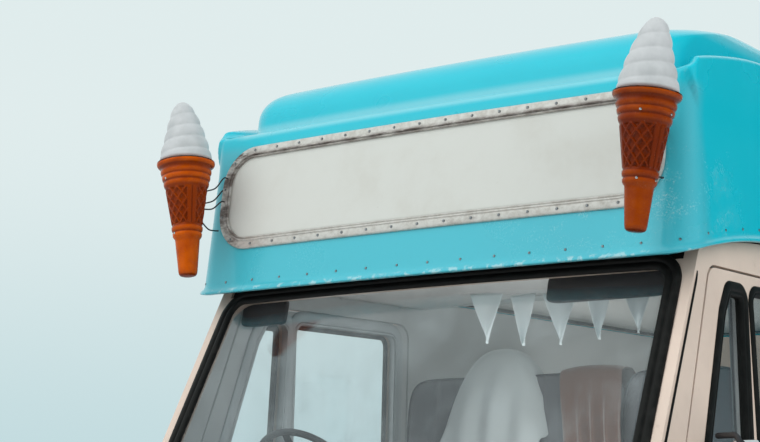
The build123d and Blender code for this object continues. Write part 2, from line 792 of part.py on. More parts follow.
with BuildPart() as nose_panel:
    add(NOSE)
    add(NOSE_INSIDE, mode=Mode.SUBTRACT)
    add(box_block((-1300, 1300), (-2400, DOOR_FRONT_Y - GAP), (0, 1300)), mode=Mode.INTERSECT)
    add(cab_space.part, mode=Mode.SUBTRACT)
    add(bonnet_block(GAP), mode=Mode.SUBTRACT)
    add(grille_block(0), mode=Mode.SUBTRACT)
    add(arch_block(FRONT_AXLE_Y, ARCH_R), mode=Mode.SUBTRACT)
    add(cab_frame.part, mode=Mode.SUBTRACT)
    for side in (-1, 1):
        add(iron_slot(side, (-2400, -2200)), mode=Mode.SUBTRACT)
        for z in HINGE_ZS:
            for end in (-1, 1):
                with Locations((side * (HINGE_X - 14), HINGE_Y - 12, z + end * (HINGE_L * 0.75 + SEAT_GAP))):
                    Box(22, 22, HINGE_L / 2)
                with Locations((side * HINGE_X, HINGE_Y, z + end * (HINGE_L * 0.75 + SEAT_GAP))):
                    Cylinder(HINGE_R, HINGE_L / 2)
    for side in (-1, 1):
        for end in (-1, 1):
            x = side * BONNET_HINGE_X + end * (BONNET_HINGE_L * 0.75 + SEAT_GAP)
            add(bonnet_hinge(x, BONNET_HINGE_L / 2, 1))
save(nose_panel, "nose_panel")

with BuildPart() as bonnet:
    add(NOSE)
    add(NOSE_INSIDE, mode=Mode.SUBTRACT)
    add(bonnet_block(0), mode=Mode.INTERSECT)
    for side in (-1, 1):
        add(bonnet_hinge(side * BONNET_HINGE_X, BONNET_HINGE_L, -1))
save(bonnet, "bonnet")

# Grille with its slats, posts and lamp rings, and the round lamps
GRILLE_BAR, GRILLE_DEPTH, SLATS = 16, 34, 7
with BuildPart() as grille:
    add(NOSE)
    add(nose_block(GRILLE_DEPTH), mode=Mode.SUBTRACT)
    add(grille_block(0), mode=Mode.INTERSECT)
    with BuildSketch(Plane.XZ.offset(2000)):
        with Locations((0, GRILLE_Z)):
            RectangleRounded(2 * (GRILLE_X - GRILLE_BAR), GRILLE_H - 2 * GRILLE_BAR, GRILLE_H / 2 - GRILLE_BAR - 1)
        pitch = (GRILLE_H - 2 * GRILLE_BAR) / (SLATS + 1)
        with GridLocations(0, pitch, 1, SLATS):
            with Locations((0, GRILLE_Z)):
                Rectangle(2 * GRILLE_X, 9, mode=Mode.SUBTRACT)
        for x in (-LAMP_X, -240, 240, LAMP_X):
            with Locations((x, GRILLE_Z)):
                Rectangle(14, GRILLE_H, mode=Mode.SUBTRACT)
        for side in (-1, 1):
            with Locations((side * LAMP_X, GRILLE_Z)):
                Circle(LAMP_R + 16, mode=Mode.SUBTRACT)
    extrude(amount=400, mode=Mode.SUBTRACT)
    for side in (-1, 1):
        with BuildSketch(Plane.XZ.offset(2000)):
            with Locations((side * LAMP_X, GRILLE_Z)):
                Circle(LAMP_R)
        extrude(amount=400, mode=Mode.SUBTRACT)
save(grille, "grille")

LAMP_FACE_Y = NOSE_FRONT_Y + 26
with BuildPart() as headlamps:
    for side in (-1, 1):
        with Locations((side * LAMP_X, LAMP_FACE_Y + 45, GRILLE_Z)):
            Cylinder(LAMP_R - SEAT_GAP, 90, rotation=(90, 0, 0))
    fillet(headlamps.edges().filter_by(GeomType.CIRCLE).group_by(Axis.Y)[0], 22)
save(headlamps, "headlamps")


def bumper(end, bow, corner_y):
    """A bumper bar with turned-back ends and the two irons that hold it."""
    with BuildPart() as bar:
        for inset, mode in ((0, Mode.ADD), (12, Mode.SUBTRACT)):
            with BuildSketch(Plane.XY.offset(BUMPER_Z - BUMPER_H / 2)) as plan:
                with BuildLine():
                    out = HALF_LENGTH - inset
                    half_x = BUMPER_X - inset
                    ThreePointArc((-half_x, end * (out - bow)), (0, end * out), (half_x, end * (out - bow)))
                    Polyline(
                        (half_x, end * (out - bow)),
                        (half_x, end * corner_y),
                        (-half_x, end * corner_y),
                        (-half_x, end * (out - bow)),
                    )
                make_face()
                outer = plan.vertices().sort_by(Axis.Y)
                fillet(outer[:2] if end < 0 else outer[-2:], 90 - inset)
            extrude(amount=BUMPER_H, mode=mode)
        for side in (-1, 1):
            rail_end = RAIL_FRONT_Y if end < 0 else RAIL_REAR_Y
            reach = (rail_end - end * IRON_LAP, end * (HALF_LENGTH - 10))
            x_span = (side * (IRON_X - IRON_T / 2), side * (IRON_X + IRON_T / 2))
            add(box_block(x_span, reach, (RAIL_Z - 25, RAIL_Z + 25)))
            add(
                box_block(x_span, (end * (HALF_LENGTH - 10), end * (HALF_LENGTH + 60)), (BUMPER_Z - 90, RAIL_Z + 30)),
                mode=Mode.SUBTRACT,
            )
    return bar


front_bumper = bumper(-1, 55, HALF_LENGTH - 220)
save(front_bumper, "front_bumper")
rear_bumper = bumper(1, 30, HALF_LENGTH - 200)
save(rear_bumper, "rear_bumper")

with BuildPart() as tail_lamps:
    for side in (-1, 1):
        for z, height in ((760, 130), (905, 130)):
            with BuildSketch(Plane.XZ.offset(-REAR_Y)):
                with Locations((side * 760, z)):
                    RectangleRounded(110, height, 24)
            extrude(amount=-26)
    fillet(tail_lamps.faces().group_by(Axis.Y)[-1].edges(), 8)
save(tail_lamps, "tail_lamps")

# Chassis, axles and springs
LEAF_T, LEAVES = 9, 4
EYE_R, EYE_Z = 20, RAIL_Z - 30
SPRINGS = ((FRONT_AXLE_Y, 840, 355), (REAR_AXLE_Y, 1240, 380))
CROSS_YS = (-2090, -1380, -250, 500, 1400, 2100)
CROSS_H = 70
with BuildPart() as chassis_frame:
    rail_middle = (RAIL_FRONT_Y + RAIL_REAR_Y) / 2
    for side in (-1, 1):
        with Locations((side * RAIL_X, rail_middle, RAIL_Z)):
            Box(RAIL_W, RAIL_REAR_Y - RAIL_FRONT_Y, RAIL_H)
        with Locations((side * (RAIL_X - RAIL_WEB), rail_middle, RAIL_Z)):
            Box(RAIL_W, RAIL_REAR_Y - RAIL_FRONT_Y + 10, RAIL_H - 2 * RAIL_WEB, mode=Mode.SUBTRACT)
    for y in CROSS_YS:
        with Locations((0, y, RAIL_TOP_Z - CROSS_H / 2)):
            Box(2 * RAIL_X + RAIL_W - 8, 60, CROSS_H)
        with Locations((0, y, RAIL_TOP_Z - CROSS_H / 2 - 6)):
            Box(2 * RAIL_X - 20, 48, CROSS_H, mode=Mode.SUBTRACT)
    for y in (-900, 300, 1700):
        for side in (-1, 1):
            with Locations((side * 660, y, RAIL_TOP_Z - 30)):
                Box(2 * (660 - RAIL_X) - 2, 50, 60)
    for axle_y, length, seat_z in SPRINGS:
        for side in (-1, 1):
            inner, outer = RAIL_X + RAIL_W / 2 - RAIL_WEB, SPRING_X - LEAF_W / 2
            for end in (-1, 1):
                with Locations((side * (inner + outer) / 2, axle_y + end * length / 2, EYE_Z)):
                    Cylinder(EYE_R - 2, outer - inner, rotation=(0, 90, 0))
save(chassis_frame, "chassis_frame")


def leaf_spring(axle_y, length, seat_z):
    """One stack of leaves, each shorter than the one above, arched down to its axle's seat."""
    rise = EYE_Z - seat_z - LEAF_T * LEAVES
    with BuildPart() as stack:
        for leaf in range(LEAVES):
            half = length / 2 * (1 - 0.2 * leaf)
            low = seat_z + LEAF_T * (LEAVES - leaf)
            lift = rise * (half / (length / 2)) ** 2
            with BuildSketch(Plane.YZ.offset(-LEAF_W / 2)):
                with BuildLine():
                    ThreePointArc((axle_y - half, low + lift), (axle_y, low), (axle_y + half, low + lift))
                    Line((axle_y + half, low + lift), (axle_y + half, low + lift - LEAF_T))
                    ThreePointArc(
                        (axle_y + half, low + lift - LEAF_T), (axle_y, low - LEAF_T), (axle_y - half, low + lift - LEAF_T)
                    )
                    Line((axle_y - half, low + lift - LEAF_T), (axle_y - half, low + lift))
                make_face()
            extrude(amount=LEAF_W)
        for end in (-1, 1):
            with Locations((0, axle_y + end * length / 2, EYE_Z)):
                Cylinder(EYE_R, LEAF_W, rotation=(0, 90, 0))
        with Locations((0, axle_y, seat_z + LEAF_T * LEAVES / 2)):
            Box(LEAF_W + 24, 90, LEAF_T * LEAVES + 20)
        add(box_block((-60, 60), (axle_y - 46, axle_y + 46), (seat_z - 60, seat_z)), mode=Mode.SUBTRACT)
    return stack.part


with BuildPart() as leaf_springs:
    for axle_y, length, seat_z in SPRINGS:
        with Locations((-SPRING_X, 0, 0), (SPRING_X, 0, 0)):
            add(leaf_spring(axle_y, length, seat_z))
save(leaf_springs, "leaf_springs")


BEAM_Z = 306
with BuildPart() as front_axle_beam:
    with BuildSketch(Plane.YZ.offset(-KINGPIN_X)):
        with Locations((FRONT_AXLE_Y, BEAM_Z)):
            RectangleRounded(60, 50, 10)
    extrude(amount=2 * KINGPIN_X)
    for side in (-1, 1):
        with Locations((side * SPRING_X, FRONT_AXLE_Y, BEAM_Z + 30)):
            Box(90, 90, 2 * (SPRINGS[0][2] - BEAM_Z - 30))
        with Locations((side * KINGPIN_X, FRONT_AXLE_Y, TYRE_R)):
            Cylinder(28, 110)
        with Locations((side * KINGPIN_X, FRONT_AXLE_Y, TYRE_R)):
            Cylinder(KINGPIN_R + RUN_GAP, 130, mode=Mode.SUBTRACT)
save(front_axle_beam, "front_axle_beam")

DRUM_R, PLATE_X = 128, 742
SPINDLE_END_X, TUBE_R, DIFF_R = 865, 38, 122
for side, word in ((1, "left"), (-1, "right")):
    with BuildPart() as knuckle:
        with Locations((side * KINGPIN_X, FRONT_AXLE_Y, TYRE_R)):
            Cylinder(KINGPIN_R, 200)
        for end in (-1, 1):
            with Locations((side * (KINGPIN_X + 8), FRONT_AXLE_Y, TYRE_R + end * 78)):
                Box(70, 56, 44)
        with Locations((side * (PLATE_X - 4), FRONT_AXLE_Y, TYRE_R)):
            Cylinder(DRUM_R, 12, rotation=(0, 90, 0))
        with Locations((side * 800, FRONT_AXLE_Y, TYRE_R)):
            Cylinder(SPINDLE_R, 130, rotation=(0, 90, 0))
        add(
            box_block(
                (side * (KINGPIN_X - 10), side * (KINGPIN_X + 10)),
                (FRONT_AXLE_Y + 20, FRONT_AXLE_Y + 190),
                (TYRE_R - 100, TYRE_R - 80),
            )
        )
    save(knuckle, f"{word}_knuckle")

with BuildPart() as rear_axle:
    with BuildSketch(Plane.XY.offset(TYRE_R)) as half_axle:
        with BuildLine():
            Polyline(
                (0, REAR_AXLE_Y),
                (SPINDLE_END_X, REAR_AXLE_Y),
                (SPINDLE_END_X, REAR_AXLE_Y - SPINDLE_R),
                (PLATE_X, REAR_AXLE_Y - SPINDLE_R),
                (PLATE_X, REAR_AXLE_Y - DRUM_R),
                (PLATE_X - 12, REAR_AXLE_Y - DRUM_R),
                (PLATE_X - 12, REAR_AXLE_Y - TUBE_R),
                (150, REAR_AXLE_Y - TUBE_R),
                (95, REAR_AXLE_Y - 100),
                (40, REAR_AXLE_Y - DIFF_R),
                (0, REAR_AXLE_Y - DIFF_R),
                close=True,
            )
        make_face()
        mirror(about=Plane.YZ)
    revolve(axis=Axis((0, REAR_AXLE_Y, TYRE_R), (1, 0, 0)))
    for side in (-1, 1):
        with Locations((side * SPRING_X, REAR_AXLE_Y, (TYRE_R + SPRINGS[1][2]) / 2)):
            Box(80, 90, SPRINGS[1][2] - TYRE_R)
save(rear_axle, "rear_axle")

ENGINE = ((-230, 230), (-2050, -1470), (400, 880))
with BuildPart() as engine_block:
    add(box_block(*ENGINE))
    fillet(engine_block.edges(), 20)
    with Locations((0, (ENGINE[1][0] + ENGINE[1][1]) / 2, RAIL_Z)):
        Box(2 * (RAIL_X + RAIL_W / 2 - RAIL_WEB), 50, 40)
save(engine_block, "engine_block")

with BuildPart() as propshaft:
    with BuildLine() as shaft_line:
        Line((0, ENGINE[1][1], 430), (0, REAR_AXLE_Y - DIFF_R, TYRE_R))
    with BuildSketch(Plane(origin=shaft_line.line @ 0, z_dir=shaft_line.line % 0)):
        Circle(34)
    sweep()
    add(engine_block.part, mode=Mode.SUBTRACT)
    add(rear_axle.part, mode=Mode.SUBTRACT)
save(propshaft, "propshaft")


with BuildPart() as radiator:
    add(box_block((-300, 300), (-2170, -2110), (RAIL_TOP_Z, 900)))
save(radiator, "radiator")

with BuildPart() as fuel_tank:
    add(box_block((-760, -RAIL_X - RAIL_W / 2), (-860, -300), (330, RAIL_TOP_Z)))
    fillet(fuel_tank.edges().filter_by(Axis.Y), 40)
save(fuel_tank, "fuel_tank")

EXHAUST_X, PIPE_R = 190, 22
with BuildPart() as exhaust:
    with BuildLine():
        FilletPolyline(
            (EXHAUST_X, -1470, 440),
            (EXHAUST_X, -1250, 380),
            (EXHAUST_X, 600, 380),
            (EXHAUST_X, 760, 440),
            (EXHAUST_X, 1080, 440),
            (EXHAUST_X, 1260, 300),
            (EXHAUST_X, 2360, 300),
            radius=90,
        )
    with BuildSketch(Plane(origin=(EXHAUST_X, -1470, 440), z_dir=(0, 220, -60))):
        Circle(PIPE_R)
    sweep()
    with Locations((EXHAUST_X, -300, 380)):
        Cylinder(75, 620, rotation=(90, 0, 0))
    add(engine_block.part, mode=Mode.SUBTRACT)
save(exhaust, "exhaust")

# Wheels
WHEELS = (
    ("front_left", 1, FRONT_AXLE_Y),
    ("front_right", -1, FRONT_AXLE_Y),
    ("rear_left", 1, REAR_AXLE_Y),
    ("rear_right", -1, REAR_AXLE_Y),
)
for name, side, axle_y in WHEELS:
    hub = Plane(origin=(side * WHEEL_X, axle_y, TYRE_R), x_dir=(0, 1, 0), z_dir=(side, 0, 0))
    profile = Plane(origin=hub.origin, x_dir=(0, 1, 0), z_dir=(0, 0, 1) if side < 0 else (0, 0, -1))
    axle = Axis(hub.origin, (1, 0, 0))
    with BuildPart() as tyre:
        with BuildSketch(profile) as section:
            with BuildLine():
                Polyline(
                    (BEAD_R, -68),
                    (BEAD_R + 12, -68),
                    (BEAD_R + 20, -80),
                    (BEAD_R + 70, -95),
                    (TYRE_R - 22, -84),
                    (TYRE_R, -66),
                    (TYRE_R, 66),
                    (TYRE_R - 22, 84),
                    (BEAD_R + 70, 95),
                    (BEAD_R + 20, 80),
                    (BEAD_R + 12, 68),
                    (BEAD_R, 68),
                    close=True,
                )
            make_face()
        revolve(axis=axle)
    save(tyre, f"{name}_tyre")
    with BuildPart() as rim:
        with BuildSketch(profile):
            with BuildLine():
                Polyline(
                    (BEAD_R + 12, -74),
                    (BEAD_R + 12, -68),
                    (BEAD_R, -68),
                    (BEAD_R, 68),
                    (BEAD_R + 12, 68),
                    (BEAD_R + 12, 74),
                    (BEAD_R - 6, 74),
                    (BEAD_R - 8, 40),
                    (BEAD_R - 22, 30),
                    (BEAD_R - 24, 10),
                    (120, 26),
                    (82, 44),
                    (60, 40),
                    (SPINDLE_R + RUN_GAP, 40),
                    (SPINDLE_R + RUN_GAP, -62),
                    (DRUM_R, -62),
                    (DRUM_R, -10),
                    (BEAD_R - 32, 2),
                    (BEAD_R - 26, -30),
                    (BEAD_R - 10, -44),
                    (BEAD_R - 8, -74),
                    close=True,
                )
            make_face()
        revolve(axis=axle)
    save(rim, f"{name}_rim")

# Cab fittings
STEER_X, STEER_R = -590, 205
COLUMN_R, COLUMN_L = 24, 405
STEER_TILT = 38
wheel_axis = (0, cos(radians(STEER_TILT)), sin(radians(STEER_TILT)))
STEER_HUB = (STEER_X, -1180, 1300)
hub_plane = Plane(origin=STEER_HUB, x_dir=(1, 0, 0), z_dir=wheel_axis)


def column_space(clearance):
    """The steering column's round bar, with clearance for the holes it passes through."""
    with BuildPart() as bar:
        with BuildSketch(hub_plane.offset(-30 - SEAT_GAP)):
            Circle(COLUMN_R + clearance)
        extrude(amount=-COLUMN_L)
    return bar.part


with BuildPart() as steering_column:
    add(column_space(0))
save(steering_column, "steering_column")

with BuildPart() as dashboard:
    with BuildSketch(Plane.YZ.offset(-880)):
        with BuildLine():
            Polyline((-1640, 1150), (-1400, 1140), (-1330, 1080), (-1340, 960), (-1392, 940), (-1500, 1100), close=True)
        make_face()
    extrude(amount=1760)
    add(screen_slab(FRAME_T + 2, 2600), mode=Mode.INTERSECT)
    add(column_space(SEAT_GAP), mode=Mode.SUBTRACT)
    add(floor_pan.part, mode=Mode.SUBTRACT)
    add(nose_panel.part, mode=Mode.SUBTRACT)
save(dashboard, "dashboard")

SEAT_X, SEAT_W, SEAT_Z = 470, 480, 900
MIDDLE_SEAT_W = 2 * SEAT_X - SEAT_W - 16


def cab_seat(x, width):
    """A cushion with its leaning back, in one piece on a box base."""
    with BuildPart() as seat:
        with BuildSketch(Plane.YZ.offset(x - width / 2)):
            with BuildLine():
                Polyline(
                    (-960, SEAT_Z),
                    (-980, 1010),
                    (-560, 1000),
                    (-490, 1080),
                    (-420, 1690),
                    (-330, 1700),
                    (-360, 1000),
                    (-400, SEAT_Z),
                    close=True,
                )
            make_face()
        extrude(amount=width)
        fillet(seat.edges().filter_by(Axis.X), 28)
        with Locations((x, -660, (FLOOR_Z + SEAT_Z) / 2)):
            Box(width - 100, 420, SEAT_Z - FLOOR_Z)
    return seat.part


with BuildPart() as seats:
    for x, width in ((-SEAT_X, SEAT_W), (0, MIDDLE_SEAT_W), (SEAT_X, SEAT_W)):
        add(cab_seat(x, width))
save(seats, "seats")

with BuildPart() as steering_wheel:
    with BuildSketch(Plane(origin=STEER_HUB, x_dir=(1, 0, 0), z_dir=hub_plane.y_dir)):
        with Locations((STEER_R, 0)):
            Circle(12)
    revolve(axis=Axis(STEER_HUB, wheel_axis))
    with BuildSketch(hub_plane.offset(-30)):
        Circle(34)
    extrude(amount=40)
    with BuildSketch(hub_plane.offset(-14)):
        with PolarLocations(0, 3, 30):
            with Locations(((STEER_R - 4) / 2, 0)):
                Rectangle(STEER_R - 4, 26)
    extrude(amount=8)
save(steering_wheel, "steering_wheel")

# Serving room fittings
CABINET_TOP_Z = 1190
with BuildPart() as serving_cabinets:
    add(box_block((-560, -930), (CAB_REAR_Y + 80, REAR_PANEL_Y - 50), (FLOOR_Z, CABINET_TOP_Z)))
    arch_box = ((REAR_AXLE_Y - WHEEL_BOX[1] - 1, REAR_AXLE_Y + WHEEL_BOX[1] + 1), (FLOOR_Z, WHEEL_BOX[2] + 26))
    add(box_block((-WHEEL_BOX[0], -930), *arch_box), mode=Mode.SUBTRACT)
    add(CABIN, mode=Mode.INTERSECT)
save(serving_cabinets, "serving_cabinets")

with BuildPart() as soft_serve_machine:
    add(box_block((-600, -880), (420, 860), (CABINET_TOP_Z, 1700)))
    fillet(soft_serve_machine.edges().filter_by(Axis.Z), 30)
    with Locations((-575, 640, 1560)):
        Box(70, 180, 120)
    for y in (585, 640, 695):
        with Locations((-560, y, 1490)):
            Cylinder(16, 60)
save(soft_serve_machine, "soft_serve_machine")
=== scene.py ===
# %% [markdown]
# An ice cream truck, dressed for a photograph.
# The construction is already packed as a fixed frame of named pieces: this script only gives them their
# looks. It adds the moulded canopy, the sign's rolled frame, the display cones, rubbers, screws and cloth,
# each worked out as a surface with numpy, and then a procedural finish for every piece.

import json
from math import atan2, cos, pi, radians, sin, tan

import bmesh
import bpy
import numpy as np
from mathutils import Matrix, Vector


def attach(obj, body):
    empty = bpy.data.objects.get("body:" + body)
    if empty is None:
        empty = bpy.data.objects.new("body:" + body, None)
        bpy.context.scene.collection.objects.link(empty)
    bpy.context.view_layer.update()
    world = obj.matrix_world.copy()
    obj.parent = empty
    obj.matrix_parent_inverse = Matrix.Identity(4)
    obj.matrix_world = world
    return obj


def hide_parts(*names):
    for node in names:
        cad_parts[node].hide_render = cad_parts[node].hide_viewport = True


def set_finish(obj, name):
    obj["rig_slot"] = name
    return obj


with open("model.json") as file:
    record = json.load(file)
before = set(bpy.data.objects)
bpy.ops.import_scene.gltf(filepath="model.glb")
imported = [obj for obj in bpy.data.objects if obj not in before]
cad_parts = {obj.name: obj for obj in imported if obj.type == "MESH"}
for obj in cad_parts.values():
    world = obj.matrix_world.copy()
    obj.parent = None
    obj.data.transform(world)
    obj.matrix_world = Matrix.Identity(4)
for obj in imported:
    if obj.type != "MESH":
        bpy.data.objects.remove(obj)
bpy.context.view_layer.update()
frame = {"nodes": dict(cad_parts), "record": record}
NODES = frame["nodes"]
SCENE = bpy.context.scene
SIDES = ((1, "left"), (-1, "right"))
MIRROR = np.array((-1, 1, 1))
print("pieces in the frame:", len(NODES))

# %% [markdown]
# The photograph was taken from the pavement, low and close to the front left corner, with a long lens.
# The camera's place and heading were solved from the truck's own symmetry, so they're written as real
# sizes: metres and degrees in the truck's frame. The focal length is given in pixels of a 760 pixel wide
# picture, which the sensor's width turns into millimetres.

# %% Camera
PHOTO_WIDTH = 760
FOCAL_PIXELS = 1700
SENSOR = 36
CAMERA_AT = (3.126, -5.866, 1.258)
CAMERA_HEADING, CAMERA_PITCH = 36.05, 9.06

camera_data = bpy.data.cameras.new("camera")
camera_data.sensor_width = SENSOR
camera_data.lens = FOCAL_PIXELS / PHOTO_WIDTH * SENSOR
camera = bpy.data.objects.new("camera", camera_data)
camera.location = CAMERA_AT
camera.rotation_euler = (radians(90 + CAMERA_PITCH), 0, radians(CAMERA_HEADING))
SCENE.collection.objects.link(camera)
SCENE.camera = camera
print("lens", round(camera_data.lens, 1), "mm")

# %% [markdown]
# Every shape below ends as a grid of points. A grid becomes a mesh by joining each point to its right and
# upper neighbours. Index arrays do that for the whole grid at once, with the last column joined to the
# first where a shape closes on itself. Keeping this in one place keeps the shape functions about shape.

# %% Meshes from grids
PIECES = {}
WELD = 1e-5
NEARLY_NOTHING = 1e-12


def quads(rows, columns, closed):
    """Corner numbers of each face of a grid, counted row by row, wrapping round when closed."""
    low = np.arange(rows - 1)[:, None] * columns
    here = np.arange(columns if closed else columns - 1)[None, :]
    there = (here + 1) % columns
    return np.stack([low + here, low + there, low + columns + there, low + columns + here], -1).reshape(-1, 4)


def piece(name, grids, slot=None, replaces=(), body="body", closed=True, thickness=0):
    """One mesh from several grids, welded, turned outwards and set on its body.

    The columns of a grid close on themselves unless closed is False. A thickness makes it a wall.
    """
    points, faces = [], []
    start = 0
    for grid in grids:
        rows, columns = grid.shape[:2]
        points.append(grid.reshape(-1, 3))
        faces.append(quads(rows, columns, closed) + start)
        start += rows * columns
    mesh = bpy.data.meshes.new(name)
    mesh.from_pydata(np.concatenate(points).tolist(), [], np.concatenate(faces).tolist())
    mesh.polygons.foreach_set("use_smooth", np.ones(len(mesh.polygons), bool))
    thing = bpy.data.objects.new(name, mesh)
    SCENE.collection.objects.link(thing)
    work = bmesh.new()
    work.from_mesh(mesh)
    bmesh.ops.remove_doubles(work, verts=work.verts, dist=WELD)
    bmesh.ops.recalc_face_normals(work, faces=work.faces)
    work.to_mesh(mesh)
    work.free()
    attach(thing, body)
    if slot:
        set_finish(thing, slot)
    if replaces:
        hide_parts(*replaces)
    if thickness:
        wall = thing.modifiers.new("thickness", "SOLIDIFY")
        wall.thickness = thickness
        wall.offset = -1
    PIECES[name] = thing
    return thing


# %% [markdown]
# Lines and steps are worked out as whole arrays too. The helpers below turn millimetres into metres, measure
# a line, step it evenly, draw a smooth line through a few points, and ease from one value to another. They
# keep the later cells short, and each could be used for any other object.

# %% Lines and steps
def mm(rows):
    """A table of millimetres as metres."""
    return np.array(rows) / 1000


def unit(vectors):
    """The same vectors with a length of one."""
    return vectors / np.maximum(np.linalg.norm(vectors, axis=-1, keepdims=True), NEARLY_NOTHING)


def angles(count):
    """Even steps of a full turn."""
    return np.linspace(0, 2 * pi, count, endpoint=False)


def length_along(line):
    """The distance from a line's first point to each of its points."""
    return np.concatenate([[0], np.cumsum(np.linalg.norm(np.diff(line, axis=0), axis=1))])


def even(line, count):
    """The same line stepped evenly along its length, as count points that close on the first."""
    gap = length_along(line)
    steps = np.linspace(0, gap[-1], count + 1)[:-1]
    return np.stack([np.interp(steps, gap, line[:, k]) for k in range(line.shape[1])], 1)


def through(points, count):
    """A smooth line through rows of numbers, each span a cubic of its four nearest rows (Catmull-Rom)."""
    p = np.asarray(points, float)
    p = np.concatenate([2 * p[:1] - p[1:2], p, 2 * p[-1:] - p[-2:-1]])
    t = np.linspace(0, len(p) - 3, count)
    first = np.minimum(t.astype(int), len(p) - 4)
    t = (t - first)[:, None]
    a, b, c, d = (p[first + k] for k in range(4))
    return 0.5 * (2 * b + (c - a) * t + (2 * a - 5 * b + 4 * c - d) * t ** 2
                  + (3 * b - a - 3 * c + d) * t ** 3)


def smooth_step(value, low, high):
    """0 below low, 1 above high, and an even S between them."""
    t = np.clip((value - low) / (high - low), 0, 1)
    return t * t * (3 - 2 * t)


# %% [markdown]
# Many parts are turned or rounded forms. Three functions cover them: a profile turned about an axis, a rod
# whose radius may change along its path, and a block with soft edges, which is a sphere pushed outwards
# towards a box. Another finds where a straight line meets a CAD node, so that small parts sit exactly on it.

# %% Turned forms, rods and soft blocks
NO_AXIS = (0.13, 0.21, 0.97)  # a direction that no part's axis shares


def turned(middle, axis, profile, sides=48):
    """Rows of a profile (distance along the axis, radius) turned about it."""
    axis = unit(np.asarray(axis, float))
    aside = unit(np.cross(axis, NO_AXIS))
    turn = angles(sides)[:, None]
    ring = np.cos(turn) * aside + np.sin(turn) * np.cross(axis, aside)
    profile = np.asarray(profile, float)
    return np.asarray(middle) + profile[:, :1, None] * axis + profile[:, 1:, None] * ring[None]


def rod(path, radius, sides=10):
    """A round rod along a path, closed at both ends: a circle on the path's side and rise directions."""
    path = np.asarray(path, float)
    step = np.diff(path, axis=0)
    ahead = unit(np.concatenate([step[:1], path[2:] - path[:-2], step[-1:]]))
    side = unit(np.cross(ahead, NO_AXIS))
    rise = np.cross(side, ahead)
    turn = angles(sides)[:, None]
    ring = np.cos(turn) * side[:, None] + np.sin(turn) * rise[:, None]
    tube = path[:, None] + np.broadcast_to(radius, len(path))[:, None, None] * ring
    return np.concatenate([np.repeat(path[:1, None], sides, 1), tube, np.repeat(path[-1:, None], sides, 1)])


def leant(points, tilt):
    """Points turned about the x axis."""
    x, y, z = np.moveaxis(points, -1, 0)
    return np.stack([x, y * cos(tilt) - z * sin(tilt), y * sin(tilt) + z * cos(tilt)], -1)


def soft_block(middle, halves, power=6.0, rows=28, sides=56, tilt=0.0):
    """A block with soft edges: each direction d of a sphere reaches 1 / (sum |d| ** power) ** (1 / power)."""
    turn, rise = np.meshgrid(angles(sides), np.linspace(0, pi, rows))
    way = np.stack([np.sin(rise) * np.cos(turn), np.sin(rise) * np.sin(turn), np.cos(rise)], -1)
    way = way / (np.abs(way) ** power).sum(-1, keepdims=True) ** (1 / power) * np.asarray(halves)
    return leant(way, tilt) + np.asarray(middle)


def meets(node, start, way):
    """Where a straight line meets a CAD node, and the outward direction there."""
    thing = NODES[node]
    back = thing.matrix_world.inverted()
    hit, spot, facing, _ = thing.ray_cast(back @ Vector(start), (back.to_3x3() @ Vector(way)).normalized())
    if not hit:
        raise ValueError(f"the line misses {node}")
    facing = (thing.matrix_world.to_3x3() @ facing).normalized()
    return np.array(thing.matrix_world @ spot), np.array(facing)


# %% [markdown]
# The canopy is one glass-fibre moulding: a band that leans in by nine degrees, a ledge behind the sign,
# raised side panels that start at the front corners, and a crowned roof. Seen from above each level is a
# rounded rectangle with a bowed front. So the whole moulding is one grid: columns go round the plan and
# rows climb from the lip to the crown, which keeps every highlight unbroken round the corners.

# %% Canopy: plan and levels
LIP_X, LIP_FRONT, LIP_REAR, LIP_Z = 0.975, -1.372, 2.318, 1.948
LEAN, SIDE_LEAN = tan(radians(9)), tan(radians(3))
CORNER, BOW = 0.105, 0.030
EAVES_Z, EAVES_BREAK_Y = 2.045, -0.650
LEDGE_Z, BAND_Z = 2.532, 2.652
DOME_X, DOME_FRONT, DOME_REAR = 0.850, -1.245, 2.195
DOME_LINE = mm((  # inset from the foot, height, corner radius
    (0, 2470, 120), (2, 2550, 121), (14, 2622, 124), (60, 2674, 136), (135, 2707, 146), (225, 2730, 150),
    (315, 2748, 150), (410, 2763, 146), (505, 2776, 136), (605, 2787, 120), (710, 2796, 95),
    (800, 2799.5, 40),
))
SHOULDER = mm((  # height, half the width that the dome keeps up to there
    (2545, 851), (2700, 850), (2735, 846), (2757, 836), (2772, 818), (2784, 788), (2793, 735), (2798, 660),
    (2800, 560),
))
RIDGE_HALF, RIDGE_IN = 1e-6, 0.2
RUN_COLUMNS, CORNER_COLUMNS = 40, 24
CREASE_SHARE = 58 / 90  # the crease stands this far round the front corner

# The columns: how far each one is across, round, back and into a corner of the rounded rectangle.
run = np.linspace(0, 1, RUN_COLUMNS, endpoint=False)
turn = np.linspace(0, pi / 2, CORNER_COLUMNS, endpoint=False)
home, down = np.append(run, 1), run ** 1.4
ACROSS = np.concatenate([run, 1 + 0 * turn, 1 + 0 * run, 1 + 0 * turn, 1 - home])
ROUND = np.concatenate([0 * run, np.sin(turn), 1 + 0 * run, np.cos(turn), 0 * home])
BACK = np.concatenate([0 * run, 0 * turn, down, 1 + 0 * turn, 1 + 0 * home])
INTO = np.concatenate([0 * run, 1 - np.cos(turn), 1 - 2 * down, np.sin(turn) - 1, 0 * home])


def plan(half_x, front, rear, corner, bow=BOW):
    """Half outline from above, from the middle of the front round to the middle of the rear.

    Straight runs are evenly spaced, corners are quarter circles, and the front is pushed out by bow
    times one minus the square of the share of the half width. Each size may differ from column to column.
    """
    x = (half_x - corner) * ACROSS + corner * ROUND
    y = front * (1 - BACK) + rear * BACK + corner * INTO
    y = y - bow * (1 - (x / half_x) ** 2) * smooth_step(-y, -0.2, 0.9)
    return np.stack([x, y], -1)


